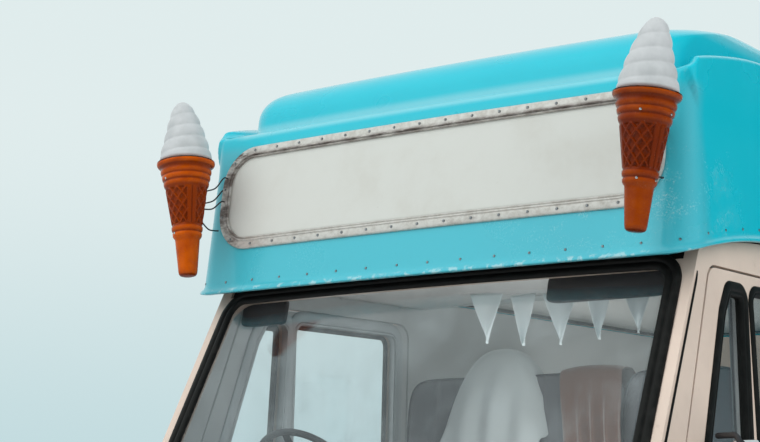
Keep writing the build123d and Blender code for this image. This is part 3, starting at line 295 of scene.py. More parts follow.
LIP_PLAN = plan(LIP_X, LIP_FRONT, LIP_REAR, CORNER)
ALONG = length_along(LIP_PLAN)
CREASE_AT = ALONG[RUN_COLUMNS + int(CORNER_COLUMNS * CREASE_SHARE)]
print("canopy columns:", len(LIP_PLAN), "crease at", round(CREASE_AT, 3))

# %% [markdown]
# Two heights vary as the columns go round: the lip, which is low over the windscreen and climbs in an arc
# over the cab doors, and the band's top edge, which climbs from the front ledge to the higher side panels.
# Past a slanting crease on each front corner the side panel also stands a little proud. All three are plain
# functions of the distance round the outline.

# %% Canopy: heights that change round the plan
past_crease = ALONG - CREASE_AT
EAVES_RUN = EAVES_BREAK_Y - LIP_FRONT
EAVES_R = (EAVES_RUN ** 2 + (EAVES_Z - LIP_Z) ** 2) / (2 * (EAVES_Z - LIP_Z))
run_back = np.clip(EAVES_BREAK_Y - LIP_PLAN[:, 1], 0, EAVES_RUN)
LIP_HEIGHT = EAVES_Z - (EAVES_R - np.sqrt(EAVES_R ** 2 - run_back ** 2))
climb_at = (-0.10, -0.02, 0.03, 0.09, 0.20, 0.50)
BAND_TOP = np.interp(past_crease, climb_at, (LEDGE_Z, 2.538, 2.552, 2.576, 2.602, BAND_Z))
kernel = np.hanning(9)[1:-1]
BAND_TOP = np.convolve(np.pad(BAND_TOP, len(kernel) // 2, "edge"), kernel / kernel.sum(), "valid")


def level(flat, height):
    """Points with their heights: a plan and a height for each column."""
    return np.concatenate([flat, np.broadcast_to(height, flat.shape[:-1])[..., None]], -1)


def wall_at(height, inset=0.0):
    """Points of the wall at given heights: the lip's plan, drawn in by its two leans and by inset.

    The corners grow tighter with height, and past the crease the panel stands proud by up to 11 mm.
    """
    rise = height - LIP_Z
    crease = np.interp(height, (2.40, 2.46, LEDGE_Z), (0.055, 0.005, -0.075))
    proud = 0.011 * smooth_step(past_crease - crease, 0, 0.022) * smooth_step(height, 2.36, 2.47)
    ahead, aside = rise * LEAN + inset - proud * 0.5, rise * SIDE_LEAN + inset - proud
    corner = np.interp(height, (1.95, 2.20, 2.40, 2.50), (0.100, 0.080, 0.060, 0.040))
    return level(plan(LIP_X - aside, LIP_FRONT + ahead, LIP_REAR - aside, corner - inset * 0.5), height)


def dome_at(inset, height, corner):
    """Points of the dome: its ends drawn in by inset, its sides standing up to a round shoulder."""
    half_x = np.maximum(DOME_X - inset, np.interp(height, SHOULDER[:, 0], SHOULDER[:, 1]))
    return level(plan(half_x, DOME_FRONT + inset, DOME_REAR - inset, corner), height)


def crown(inset, height, corner):
    """Rows that close the dome's flat top onto a ridge."""
    shrink = np.linspace(0, 1, 7)[1:, None]
    half_x = SHOULDER[-1, 1] * (1 - shrink) + RIDGE_HALF
    front, rear = DOME_FRONT + inset + RIDGE_IN * shrink, DOME_REAR - inset - RIDGE_IN * shrink
    return list(level(plan(half_x, front, rear, corner * (1 - shrink), 0), height))


def whole(half_rows):
    """A closed grid from the rows of one half and their mirror image."""
    half = np.stack(half_rows)
    return np.concatenate([half, half[:, ::-1] * MIRROR], 1)


# %% [markdown]
# The rows follow each other up the moulding: a rolled lip with its flange, the band, the band's rounded
# edge, the ledge, a fillet at the dome's foot, the dome and its flat top. Behind the lip an underside of
# black rubber, a painted shadow under the lip, closes the gap to the windscreen. In the serving room people
# stand up inside the canopy, so its lining follows its own walls and dome, a little way in.

# %% Canopy: the rows of the grid
FLANGE = mm((  # height above the lip, inset
    (34, 22), (10, 20), (1, 14), (0, 0), (1, -10.5), (4, -12.5), (8, -11.5), (13, -7.5), (19, -3),
    (26, -0.5), (34, 0),
))
UNDERSIDE = mm(((32, 4), (20, 20), (18, 50), (20, 95)))
EDGE_R, FOOT_R = 0.020, 0.011
LINING_IN = np.array((0.030, -0.030, 0.0))  # inset, height, corner radius
LINING_SQUEEZE = np.array((0.965, 1, 1))

rows = [wall_at(LIP_HEIGHT + up, inset) for up, inset in FLANGE]
low = LIP_HEIGHT + FLANGE[-1][0]
rows += [wall_at(low + (BAND_TOP - EDGE_R - low) * share) for share in np.linspace(0, 1, 27)[1:]]
for turn in np.linspace(0, pi / 2, 8)[1:]:
    rows.append(wall_at(BAND_TOP - EDGE_R * (1 - np.sin(turn)), EDGE_R * (1 - np.cos(turn)) * (1 - LEAN)))
dome_line = through(DOME_LINE, 300)
part_way = np.linspace(0, 1, 300)
start = np.interp(BAND_TOP + FOOT_R, dome_line[:, 1], part_way)
foot_inset, foot_corner = (np.interp(start, part_way, dome_line[:, k]) for k in (0, 2))
foot = dome_at(foot_inset - FOOT_R, BAND_TOP, foot_corner)
rows += [rows[-1] * (1 - share) + foot * share for share in (0.33, 0.67)]
for turn in np.linspace(0, pi / 2, 6):
    inset, up = FOOT_R * (1 - np.sin(turn)), FOOT_R * (1 - np.cos(turn))
    rows.append(dome_at(foot_inset - inset, BAND_TOP + up, foot_corner))
climb = start + (1 - start) * np.linspace(0, 1, 34)[1:, None]
rows += list(dome_at(*(np.interp(climb, part_way, dome_line[:, k]) for k in range(3))))
rows += crown(*dome_line[-1])
canopy = piece("canopy", [whole(rows)], "canopy_paint", ["roof_shell"], thickness=0.006)

# The underside is black rubber: a painted shadow under the canopy's lip.
underside = [wall_at(LIP_HEIGHT + up, inset) for up, inset in UNDERSIDE]
piece("soffit", [whole(underside)], "seal_rubber", thickness=0.002)
lining = [wall_at(np.full_like(BAND_TOP, height), LINING_IN[0]) for height in np.linspace(2.060, 2.480, 12)]
inner_dome = dome_at(*(np.interp(climb[::3], part_way, dome_line[:, k]) + LINING_IN[k] for k in range(3)))
lining += [row * LINING_SQUEEZE for row in (*inner_dome, *crown(*dome_line[-1] + LINING_IN))]
piece("canopy_lining", [whole(lining)], "cabinet", thickness=0.003)
print("canopy faces:", len(canopy.data.polygons))

# %% [markdown]
# The sign is a painted board held by a rolled metal strip, screwed to the canopy's front. The strip's
# section is a broad flat rim with two small beads on its inner side. It is drawn once as a profile and
# carried round the sign's outline, a rectangle with big round ends, laid on the leaning, bowed band.

# %% Sign frame
SIGN_X, SIGN_LOW, SIGN_HIGH, SIGN_CORNER = 0.880, 2.102, 2.478, 0.142
SIGN_RIM, TUCK = 0.040, 0.002
BEAD = [(26 + 3.5 * (1 - cos(t)), 10.5 + 3.5 * sin(t)) for t in np.linspace(0, pi, 7)]
RIM = mm([(0, -26), (0, 6), (2, 9), (6, 10.5), (24, 10.5), *BEAD,
          (33.5, 7.5), (35.5, 8), (37.5, 12.5), (40, 12.5), (41, 4), (41, -2)])


def on_band(x, z, proud):
    """Points on the canopy's front at places x across and z up, moved out by proud."""
    front = LIP_FRONT - BOW * (1 - (x / LIP_X) ** 2) + (z - LIP_Z) * LEAN
    return np.stack([x, front - proud, z + proud * LEAN], -1)


def rounded_polygon(points, radii, count):
    """A polygon with an arc at each corner, evenly stepped.

    At each corner the line runs on by r sin(t) and turns in by r (1 - cos(t)), for t up to the turn.
    """
    points = np.asarray(points, float)
    into, out = unit(points - np.roll(points, 1, 0)), unit(np.roll(points, -1, 0) - points)
    turn = np.arccos(np.clip((into * out).sum(1), -1, 1))[:, None, None]
    radii = np.broadcast_to(radii, len(points))[:, None, None]
    start = points[:, None] - into[:, None] * radii * np.tan(turn / 2)
    aside = unit(out[:, None] - into[:, None] * np.cos(turn))
    t = turn * np.linspace(0, 1, 14)[None, :, None]
    line = (start + into[:, None] * radii * np.sin(t) + aside * radii * (1 - np.cos(t))).reshape(-1, 2)
    return even(np.concatenate([line, line[:1]]), count)


def span(low, high):
    """Corners of an upright rectangle: low and high are (across, up)."""
    return ((low[0], low[1]), (high[0], low[1]), (high[0], high[1]), (low[0], high[1]))


def sign_outline(inset, count):
    """The sign's rounded outline, drawn in by inset."""
    corners = span((-SIGN_X + inset, SIGN_LOW + inset), (SIGN_X - inset, SIGN_HIGH - inset))
    return rounded_polygon(np.roll(corners, -1, 0), SIGN_CORNER - inset, count)


def along_outline(name, line, surface, profile, slot, replaces=(), body="body"):
    """A strip round a closed outline on a surface: each profile row is (inset, height off the surface)."""
    step = np.roll(line, -1, 0) - np.roll(line, 1, 0)
    inward = unit(np.stack([-step[:, 1], step[:, 0]], 1))
    inward = inward * np.sign((inward * (line.mean(0) - line)).sum())
    grid = [surface(*(line + inward * inset).T, proud) for inset, proud in [*profile, profile[0]]]
    return piece(name, [np.array(grid)], slot, replaces, body)


# %% [markdown]
# The strip goes round the outline, and the board fills it. The board is a grid whose rows are as wide as the
# rounded outline is at their height, laid on the same leaning band a little behind the strip's face.

# %% Sign rim and board
along_outline("sign_rim", sign_outline(0, 420), on_band, RIM, "sign_rim", ["sign_frame"])

across, up = np.meshgrid(np.linspace(-1, 1, 121), np.linspace(-1, 1, 33))
half_height = (SIGN_HIGH - SIGN_LOW) / 2 - SIGN_RIM + TUCK
half_width = SIGN_X - SIGN_RIM + TUCK
corner = SIGN_CORNER - SIGN_RIM
beyond = np.clip(np.abs(up) * half_height - half_height + corner, 0, None)
edge_x = half_width - corner + np.sqrt(np.clip(corner ** 2 - beyond ** 2, 0, None))
board_grid = on_band(across * edge_x, (SIGN_LOW + SIGN_HIGH) / 2 + up * half_height, 0.0045)
piece("sign_board", [board_grid], "sign_board", ["sign_panel"], closed=False, thickness=0.005)
print("sign:", round(2 * SIGN_X, 2), "m wide")

# %% [markdown]
# Small screws hold the strip and pin the canopy's lower edge to the roof frame. A screw is a low dome with a
# hollow in its middle, turned from one profile. All the screws of a row are worked out together: the profile
# is set out along each screw's own outward direction, and every head is a few dozen faces.

# %% Screws
HEAD = np.array(((0.0, -0.4), (1.0, -0.4), (1.0, 0.15), (0.86, 0.42), (0.5, 0.6), (0.16, 0.62), (0.0, 0.45)))
SCREW_SIDES, SIGN_SCREWS = 10, 38
FACE_OUT = np.array((0, -1, LEAN))


def screws(name, places, outward, radius, slot="steel"):
    """Heads at places, each facing its outward direction: HEAD gives radius and height in head radii."""
    places, outward = np.asarray(places, float), unit(np.asarray(outward, float))
    aside = unit(np.cross(outward, (0.31, 0.17, 0.93)))
    turn = angles(SCREW_SIDES)[:, None, None]
    ring = np.cos(turn) * aside + np.sin(turn) * np.cross(outward, aside)
    heads = places + radius * (HEAD[:, 0, None, None, None] * ring + HEAD[:, 1, None, None, None] * outward)
    return piece(name, [heads[:, :, k] for k in range(len(places))], slot)


screws("sign_screws", on_band(*sign_outline(0.015, SIGN_SCREWS).T, 0.0105), FACE_OUT, 0.0052)
lip_screw_at = np.arange(0.06, ALONG[-1] - 0.05, 0.125)
screw_row = wall_at(LIP_HEIGHT + 0.040)
flat_step = np.gradient(screw_row[:, :2], axis=0)
outward = unit(np.stack([flat_step[:, 1], -flat_step[:, 0], LEAN * np.hypot(*flat_step.T)], 1))
spots, facing = (np.stack([np.interp(lip_screw_at, ALONG, values[:, k]) for k in range(3)], 1)
                 for values in (screw_row, outward))
both_spots, both_ways = (np.concatenate([values, values * MIRROR]) for values in (spots, facing))
screws("lip_screws", both_spots, both_ways, 0.0045)
print("screws:", SIGN_SCREWS + 2 * len(spots))

# %% [markdown]
# The display cones are glossy mouldings. A cone is a surface of revolution, its radius read from a profile of
# heights, with the waffle ribs added on top. The swirl of ice cream is the same idea, a tapering radius with
# a wave that climbs as it goes round. Both stand on the cone's own axis, which leans out and back.

# %% Display cones
CONE_X, CONE_Y, RIM_Z = 0.907, -1.492, 2.402
CONE_OUT, CONE_BACK = radians(5.5), radians(3.0)
CONE_STEPS = mm((
    (4, 85), (9, 92), (9.5, 97), (6, 101), (0, 102.5), (-6, 101.5), (-11, 98), (-15, 91.5), (-19, 88.5),
    (-23, 87.5), (-27, 89.5), (-34, 89.5), (-40, 87.5), (-44, 83.5), (-47, 83.5), (-50, 85.5), (-57, 84.5),
    (-62, 82.5), (-66, 78), (-69, 78), (-72, 80), (-80, 79), (-86, 76.5), (-90, 73.5), (-93, 72.5),
    (-226, 52), (-229, 51.5), (-232, 54.5), (-240, 54.5), (-246, 52.5), (-249, 49.5), (-252, 49),
    (-255, 51.5), (-264, 50.5), (-269, 47.5), (-272, 43.5), (-388, 33.5), (-398, 31.5), (-403, 27.5),
    (-405.5, 20), (-406.5, 10), (-407, 0),
))
CONE_OUTLINE = mm(((-405, -272, -250, -50, 0), (33, 45.5, 54.5, 86.5, 102.5)))
WAFFLE_TOP, WAFFLE_FOOT, WAFFLE_EASE = -0.095, -0.224, 0.004
PANEL_TURN = {1: 0.675, -1: -0.25}
LATTICE_HALF, RIB_RISE, WAFFLE_SINK = 0.36, 0.0075, 0.0060


def cone_axes(side):
    """The middle of the rim and the three directions of a display cone."""
    axis = unit(np.array([side * sin(CONE_OUT), sin(CONE_BACK), cos(CONE_OUT)]))
    across = unit(np.cross((0, 1, 0), axis))
    return np.array([side * CONE_X, CONE_Y, RIM_Z]), across, np.cross(axis, across), axis


def about_cone(side, height, radius, angle, lean=0.0):
    """Points at a height, radius and angle about a display cone's axis, the top leaning over by lean."""
    middle, across, back, axis = cone_axes(side)
    height, radius, angle, lean = (np.asarray(value)[..., None] for value in (height, radius, angle, lean))
    return middle + height * axis + (lean + radius * np.cos(angle)) * across + radius * np.sin(angle) * back


# %% [markdown]
# The waffle pattern is a number worked out for every point: how near it lies to two families of slanting
# lines, inside three panels with plain strips between them. Raising the radius there gives real relief, which
# a bump in the material couldn't show in the outline. An attribute keeps how deep each point lies.

# %% Waffle cone
def cone_grid(side):
    """Waffle cone: profile radius plus slanting ribs, flattened into three panels round the cone."""
    steps = CONE_STEPS[:, 0]
    height = np.concatenate([steps[:24], np.linspace(WAFFLE_TOP, WAFFLE_FOOT, 60), steps[26:35],
                             np.linspace(-0.274, -0.386, 10), steps[36:]])
    radius = np.interp(-height, -steps, CONE_STEPS[:, 1])
    h, a = np.meshgrid(height, angles(192), indexing="ij")
    inside = smooth_step(-h, -WAFFLE_TOP, -WAFFLE_TOP + WAFFLE_EASE)
    inside = inside * (1 - smooth_step(-h, -WAFFLE_FOOT - WAFFLE_EASE, -WAFFLE_FOOT))
    panel = (a * 3 / (2 * pi) + 0.5 + PANEL_TURN[side]) % 1 - 0.5
    climb = (h - WAFFLE_TOP) / (WAFFLE_FOOT - WAFFLE_TOP) * 3
    swing = panel / LATTICE_HALF * 1.5
    ridge = np.minimum(np.abs((climb + swing) % 1 - 0.5), np.abs((climb - swing) % 1 - 0.5))
    rib = (1 - smooth_step(ridge, 0.07, 0.20)) * (np.abs(panel) < LATTICE_HALF)
    strip = 1 - smooth_step(np.abs(np.abs(panel) - 0.43), 0.05, 0.075)
    relief = inside * (np.maximum(rib, strip) * RIB_RISE - WAFFLE_SINK)
    return about_cone(side, h, radius[:, None] + relief, a)


def mark_grooves(thing, side):
    """Stores how far each point lies under the cone's straight outline, for the painted shade in the grooves.
    """
    points = np.empty(len(thing.data.vertices) * 3)
    thing.data.vertices.foreach_get("co", points)
    middle, _, _, axis = cone_axes(side)
    points = points.reshape(-1, 3) - middle
    height = points @ axis
    radius = np.linalg.norm(points - height[:, None] * axis, axis=1)
    depth = (np.interp(height, *CONE_OUTLINE) - radius) / 0.0065
    thing.data.attributes.new("groove", "FLOAT", "POINT").data.foreach_set("value", np.clip(depth, 0, 1))


# %% [markdown]
# The swirl's lobes are the same kind of number: a wave whose phase grows with the height and falls with the
# angle, so that one ridge winds up to the tip. It fades at the foot and the tip, where the form is smooth.

# %% Swirls
SWIRL_STEPS = mm((
    (6, 86), (14, 92.5), (40, 89.5), (80, 79), (120, 68), (160, 56), (190, 45), (212, 34), (226, 21),
    (233, 9), (235, 0),
))
SWIRL_PITCH, SWIRL_DEPTH = 0.0465, 0.075


def swirl_grid(side):
    """Soft serve: a tapering radius with rounded lobes that wind upwards round the axis."""
    height = 0.006 + 0.229 * np.sin(np.linspace(0, pi / 2, 90)) ** 1.1
    radius = np.interp(height, SWIRL_STEPS[:, 0], SWIRL_STEPS[:, 1])
    h, a = np.meshgrid(height, angles(128), indexing="ij")
    lobe = np.abs(np.sin(pi * (h / SWIRL_PITCH - a / (2 * pi)))) ** 0.7
    fade = smooth_step(h, 0.012, 0.05) * (1 - smooth_step(h, 0.20, 0.23))
    r = radius[:, None] * (1 - SWIRL_DEPTH * fade * (1 - lobe))
    return about_cone(side, h, r, a, 0.010 * side * smooth_step(h, 0.09, 0.235))


for side, word in SIDES:
    cone = piece(f"{word}_cone", [cone_grid(side)], "cone_shell", ["waffle_cones"])
    mark_grooves(cone, side)
    piece(f"{word}_swirl", [swirl_grid(side)], "cone_swirl", ["cone_swirls"])
print("cones:", len(cone.data.vertices), "points each")

# %% [markdown]
# Each cone hangs on thin bent rods that hook into the sign's end and the canopy's corner. A rod is a smooth
# line through a few points with a circle carried along it, and small screws are set into each cone.

# %% Cone rods and screws
ROD_R = 0.0026
RODS = (  # height and radius on the cone, and the end on the canopy
    (-0.100, 0.070, (0.868, -1.335, 2.372)), (-0.165, 0.055, (0.870, -1.345, 2.285)),
    (-0.207, 0.048, (0.885, -1.362, 2.180)), (-0.145, 0.060, (0.880, -1.325, 2.330)),
)


def rod_grid(side, drop, radius, end):
    """A round rod from a cone's inner side to its end on the canopy, sagging a little on the way."""
    start = about_cone(side, drop, radius, pi / 2 + side * 0.9)
    end = np.array(end) * (side, 1, 1)
    middle = (start + end) / 2 + (side * 0.006, 0.010, -0.010)
    return rod(through([start, middle, end, end + (-side * 0.010, 0.012, 0.0)], 24), ROD_R, 8)


dots, dots_out = [], []
for side, _ in SIDES:
    for drop, radius in ((-0.060, 0.0825), (-0.255, 0.0505)):
        for angle in (pi / 2 - side * 1.55, -pi / 2 + side * 0.3):
            dots.append(about_cone(side, drop, radius, angle))
            dots_out.append(dots[-1] - about_cone(side, drop, 0.0, angle))
rods = [rod_grid(side, *place) for side, _ in SIDES for place in RODS]
piece("cone_rods", rods, "black_metal", ["cone_brackets"])
screws("cone_screws", dots, dots_out, 0.0045, "grille_metal")
print("rods:", len(rods))

# %% [markdown]
# The windscreen is a raked sheet of glass, bowed across, held in a black rubber. The rubber is one profile,
# two lips with a filler groove between them, carried round the screen's outline on the bowed surface. Its top
# run reaches up under the canopy's lip, and a flat packing behind it closes the gap to the frame. The glass
# is a grid that fills the outline: each row is stretched from side to side of the outline at its height.

# %% Windscreen
RAKE = radians(28.3)
SCREEN_Y, SCREEN_Z, SCREEN_BOW, SCREEN_HALF, SPREAD = -1.288, 1.888, 0.044, 0.909, 0.0325
SCREEN_LOW, SCREEN_TOP, GLASS_IN = 1.189, 1.966, 0.034
LIPS = mm((
    (-4, -4), (-6, 4), (-2, 9.5), (10, 11.5), (18, 9.5), (20.5, 6), (23.5, 6), (26, 9.5), (34, 10.5),
    (43, 7.5), (47.5, 2), (48, -4),
))
PACKING = mm(((-45, -10), (20, -10), (20, -16), (-45, -16)))


def on_screen(x, z, proud):
    """Points on the raked, bowed screen at x across and z up, moved out square to it by proud."""
    off = -SCREEN_BOW * (1 - (x / SCREEN_HALF) ** 2) - proud
    climb = (z - SCREEN_Z + off * sin(RAKE)) / cos(RAKE)
    y = SCREEN_Y + climb * sin(RAKE) + off * cos(RAKE)
    return np.stack([x, y, SCREEN_Z + climb * cos(RAKE) - off * sin(RAKE)], -1)


def screen_half(z):
    """Half the width of the screen's opening at a height."""
    return SCREEN_HALF + (SCREEN_Z - z) * SPREAD - 0.010


def fill_outline(line, surface, proud, rows, columns):
    """A grid that fills a closed outline: each row runs between the outline's two sides at its height."""
    low, high = line[:, 1].min(), line[:, 1].max()
    heights = (low + high) / 2 - (high - low) / 2 * np.cos(np.linspace(0.02, pi - 0.02, rows))
    line = line[np.argsort(line[:, 1])]
    left = line[:, 0] < line[:, 0].mean()
    sides = (line[left], line[~left])
    left_x, right_x = (np.interp(heights, part[:, 1], part[:, 0])[:, None] for part in sides)
    across = np.linspace(0, 1, columns)[None]
    x = left_x * (1 - across) + right_x * across
    return surface(x, np.broadcast_to(heights[:, None], x.shape), proud)


corners = [(sign * screen_half(z), z)
           for sign, z in ((1, SCREEN_LOW), (1, SCREEN_TOP), (-1, SCREEN_TOP), (-1, SCREEN_LOW))]
screen_line = rounded_polygon(corners, 0.095, 480)
along_outline("screen_rubber", screen_line, on_screen, LIPS, "seal_rubber", ["windscreen_seal"])
along_outline("screen_packing", screen_line, on_screen, PACKING, "seal_rubber")
inner = [(x - np.sign(x) * GLASS_IN, z - np.sign(z - 1.5) * GLASS_IN) for x, z in corners]
pane = fill_outline(rounded_polygon(inner, 0.065, 300), on_screen, -0.001, 60, 60)
piece("screen_glass", [pane], "glass", ["windscreen_glass"], closed=False, thickness=0.006)
print("screen opening:", round(2 * screen_half(1.5), 3), "m wide")

# %% [markdown]
# Every other window sits in a rubber of its own. The body's side leans in a little above the waist, so one
# surface function places points on it, and another places points on the flat rear. A table lists the
# windows, and the same profile goes round each of them.

# %% Window rubbers
WAIST, EAVES = (0.962, 1.165), (0.935, 2.045)
REAR_FACE = 2.280
QUARTER = ((-1.322, 1.222), (-0.964, 1.222), (-0.934, 1.876), (-1.052, 1.876), (-1.104, 1.796))
MAIN = span((-0.888, 1.215), (-0.238, 1.885))
QUARTER_R, MAIN_R, WINDOW_R = 0.034, 0.045, 0.060
QUARTER_REACH, REACH, GASKET_PROUD = 0.024, 0.017, 0.0085
GASKET = ((-1.0, 0.0), (-0.96, 0.35), (-0.6, 0.85), (-0.1, 1.0), (0.16, 0.8), (0.30, 0.35), (0.42, 0.30),
          (0.56, 0.65), (0.80, 0.45), (1.0, -0.5), (1.0, -2.35))


def on_side(side):
    """A surface function for one side of the body above the waist."""
    def surface(y, z, proud):
        x = WAIST[0] + (EAVES[0] - WAIST[0]) * (z - WAIST[1]) / (EAVES[1] - WAIST[1])
        return np.stack([side * (x + proud), y, z], -1)
    return surface


def on_rear(x, z, proud):
    """Points on the flat rear of the body."""
    return np.stack([x, REAR_FACE + proud + 0 * x, z], -1)


WINDOWS = []
for side, word in SIDES:
    WINDOWS += [
        (f"{word}_quarter", f"{word}_door", on_side(side), QUARTER, QUARTER_R, QUARTER_REACH),
        (f"{word}_main", f"{word}_door", on_side(side), MAIN, MAIN_R, REACH),
        (f"{word}_small", "body", on_side(side), span((1.56, 1.33), (1.96, 1.80)), WINDOW_R, REACH),
    ]
WINDOWS.append(("right_long", "body", on_side(-1), span((0.33, 1.33), (1.33, 1.80)), WINDOW_R, REACH))
WINDOWS.append(("rear_window", "rear_door", on_rear, span((-0.25, 1.28), (0.25, 1.80)), WINDOW_R, REACH))
for name, body, surface, polygon, radius, reach in WINDOWS:
    gasket = [(reach * inset, GASKET_PROUD * proud) for inset, proud in GASKET]
    outline = rounded_polygon(polygon, radius, 200)
    along_outline(f"{name}_rubber", outline, surface, gasket, "seal_rubber", body=body)
print("window rubbers:", len(WINDOWS))

# %% [markdown]
# A tyre is one closed profile turned about the axle. The tread is cut into it by formula: three grooves run
# round it and slanted cuts run across its shoulders, each a smooth dip in the radius.

# %% Tyres and wheel nuts
AXLES = (("front", -1.78), ("rear", 0.92))
WHEELS = {f"{end}_{word}": (side, y) for end, y in AXLES for side, word in SIDES}
TRACK_HALF, AXLE_Z, TYRE_R, TREAD_HALF = 0.82, 0.33, 0.3295, 0.072
TREAD_DEPTH, GROOVES_AT, CUTS = 0.0075, (-0.034, 0.0, 0.034), 48
NUT_COUNT, NUT_CIRCLE = 5, 0.058
SIDEWALL = mm((
    (-70, 186), (-78, 192), (-82, 206), (-89, 222), (-93.5, 245), (-94, 262), (-91.5, 280), (-89.5, 283),
    (-88.5, 297), (-82, 312), (-76, 319.5),
))
NUT = mm(((-2, 0), (-2, 16), (2, 16), (2.5, 10.5), (11, 10.5), (12.5, 9), (12.5, 5.5), (17, 5.2), (18, 0)))
HUB_CAP = mm(((-2, 0), (-2, 40), (8, 40), (12, 36), (13, 30), (18, 26), (23, 15), (24, 0)))


def tyre_grid(side, y):
    """Turned tyre with grooves round the tread and slanted cuts across each shoulder."""
    over = np.linspace(-TREAD_HALF, TREAD_HALF, 37)
    tread_line = np.stack([over, TYRE_R - 0.0085 * (over / TREAD_HALF) ** 4], 1)
    profile = np.concatenate([SIDEWALL, tread_line, SIDEWALL[::-1] * (-1, 1), SIDEWALL[:1]])
    x, a = np.meshgrid(profile[:, 0], angles(288), indexing="ij")
    r = np.broadcast_to(profile[:, 1:], x.shape)
    wander = 0.003 * np.sin(CUTS / 2 * a)
    grooves = sum(1 - smooth_step(np.abs(x - at - wander), 0.002, 0.0045) for at in GROOVES_AT)
    slant = np.abs((a * CUTS / (2 * pi) + x * 14) % 1 - 0.5)
    cuts = (1 - smooth_step(slant, 0.05, 0.16)) * smooth_step(np.abs(x), 0.040, 0.048)
    r = r - smooth_step(r, 0.300, 0.318) * TREAD_DEPTH * np.maximum(np.clip(grooves, 0, 1), cuts)
    return np.stack([side * TRACK_HALF + side * x, y + r * np.cos(a), AXLE_Z + r * np.sin(a)], -1)


for name, (side, y) in WHEELS.items():
    wheel = f"{name}_wheel"
    piece(f"{name}_tread", [tyre_grid(side, y)], "tyre", [f"{name}_tyre"], wheel)
    turns = angles(NUT_COUNT) + 0.3
    starts = [(side * 1.3, y + NUT_CIRCLE * cos(t), AXLE_Z + NUT_CIRCLE * sin(t)) for t in turns]
    spots = [meets(f"{name}_rim", start, (-side, 0, 0))[0] for start in starts]
    nuts = [turned(spot, (side, 0, 0), NUT, 6) for spot in spots]
    hub_cap = turned((spots[0][0], y, AXLE_Z), (side, 0, 0), HUB_CAP, 36)
    piece(f"{name}_nuts", [*nuts, hub_cap], "steel", body=wheel)
print("wheel nuts:", len(WHEELS) * NUT_COUNT)

# %% [markdown]
# The seats are foam on a dark plinth. Each cushion and each back is a soft block that is crowned in the
# middle and drawn in along its seams, and a thin welt runs round its edge. The lean of the back and the
# plinth follow the CAD seats, so the forms sit in the same room.

# %% Seats
SEATS = {"driver": (-0.470, 0.240), "middle": (0.0, 0.222), "passenger": (0.470, 0.240)}
SEAT_TILT, BACK_LEAN = 0.03, -radians(5)
SEAMS, SEAM_DEPTH, SEAM_WIDTH, CROWN_RISE = (-0.45, 0.0, 0.45), 0.009, 0.035, 0.018


def cushion_grid(middle, halves, tilt, axis):
    """A crowned block: both faces across the axis swell in the middle and dip along each seam."""
    block = soft_block((0, 0, 0), halves, 7.0, 61, 120)
    u, v, w = (block[..., k] / halves[k] for k in (0, 3 - axis, axis))
    dips = sum(SEAM_DEPTH * np.exp(-((u - at) / SEAM_WIDTH) ** 2) for at in SEAMS)
    swell = CROWN_RISE * (1 - u ** 2) * (1 - v ** 2) - dips
    block[..., axis] += np.sign(w) * smooth_step(np.abs(w), 0.0, 0.9) * swell
    return leant(block, tilt) + np.asarray(middle)


def welt(middle, halves, tilt, axis, place):
    """A thin cord round the edge of a cushion, at a share of its thickness."""
    turn = np.linspace(0, 2 * pi, 97)
    line = np.full((97, 3), place * halves[axis])
    for k, wave in zip((0, 3 - axis), (np.cos(turn), np.sin(turn))):
        line[:, k] = np.sign(wave) * np.abs(wave) ** 0.30 * halves[k] * 0.985
    return rod(leant(line, tilt) + np.asarray(middle), 0.0045, 8)


plinths = []
for name, (x, half) in SEATS.items():
    cushion = ((x, -0.735, 0.925), (half - 0.004, 0.232, 0.068), SEAT_TILT, 2)
    back = ((x, -0.402, 1.345), (half - 0.006, 0.042, 0.345), BACK_LEAN, 1)
    for word, form in (("cushion", cushion), ("back", back)):
        pad = piece(f"{name}_{word}", [cushion_grid(*form)], "seat_cloth", ["seats"])
    piece(f"{name}_welts", [welt(*cushion, 0.80), welt(*back, -0.80)], "dark_trim")
    plinths.append(soft_block((x, -0.715, 0.722), (half - 0.030, 0.210, 0.132), 14.0))
    for post in (x - half + 0.06, x + half - 0.06):
        plinths.append(rod(((post, -0.50, 0.86), (post, -0.43, 1.02)), 0.010))
piece("seat_plinths", plinths, "dark_trim", ["seats"])
print("padded seat pieces:", 2 * len(SEATS))

# %% [markdown]
# Two covers lie over the seat backs. A cover follows a line over the back, down in front and down behind,
# and is carried across it. Folds grow with the distance below the top, where the cloth hangs free, and the
# ridge falls away at the sides. The flat size is measured on the finished grid, so the cloth isn't stretched.

# %% Seat covers
COVER_THICKNESS = 0.0022
GREY_LINE = mm((
    (-530, 1270), (-505, 1450), (-478, 1620), (-445, 1735), (-410, 1783), (-372, 1795), (-334, 1783),
    (-308, 1735), (-298, 1620), (-292, 1470), (-288, 1340),
))
BROWN_LINE = mm((
    (-505, 1360), (-478, 1500), (-452, 1620), (-428, 1692), (-405, 1712), (-366, 1716), (-328, 1706),
    (-308, 1650), (-302, 1560), (-298, 1450),
))
COVERS = (  # name, line, low x, high x, ridge, folds, depth, skew, what it rests on
    ("grey_cover", GREY_LINE, -0.520, -0.055, 0.270, 3.0, 0.010, 0.0,
     ("driver_back", "middle_back", "head_pad")),
    ("brown_cover", BROWN_LINE, -0.020, 0.235, 0.012, 4.0, 0.012, 0.16, ("middle_back",)),
)


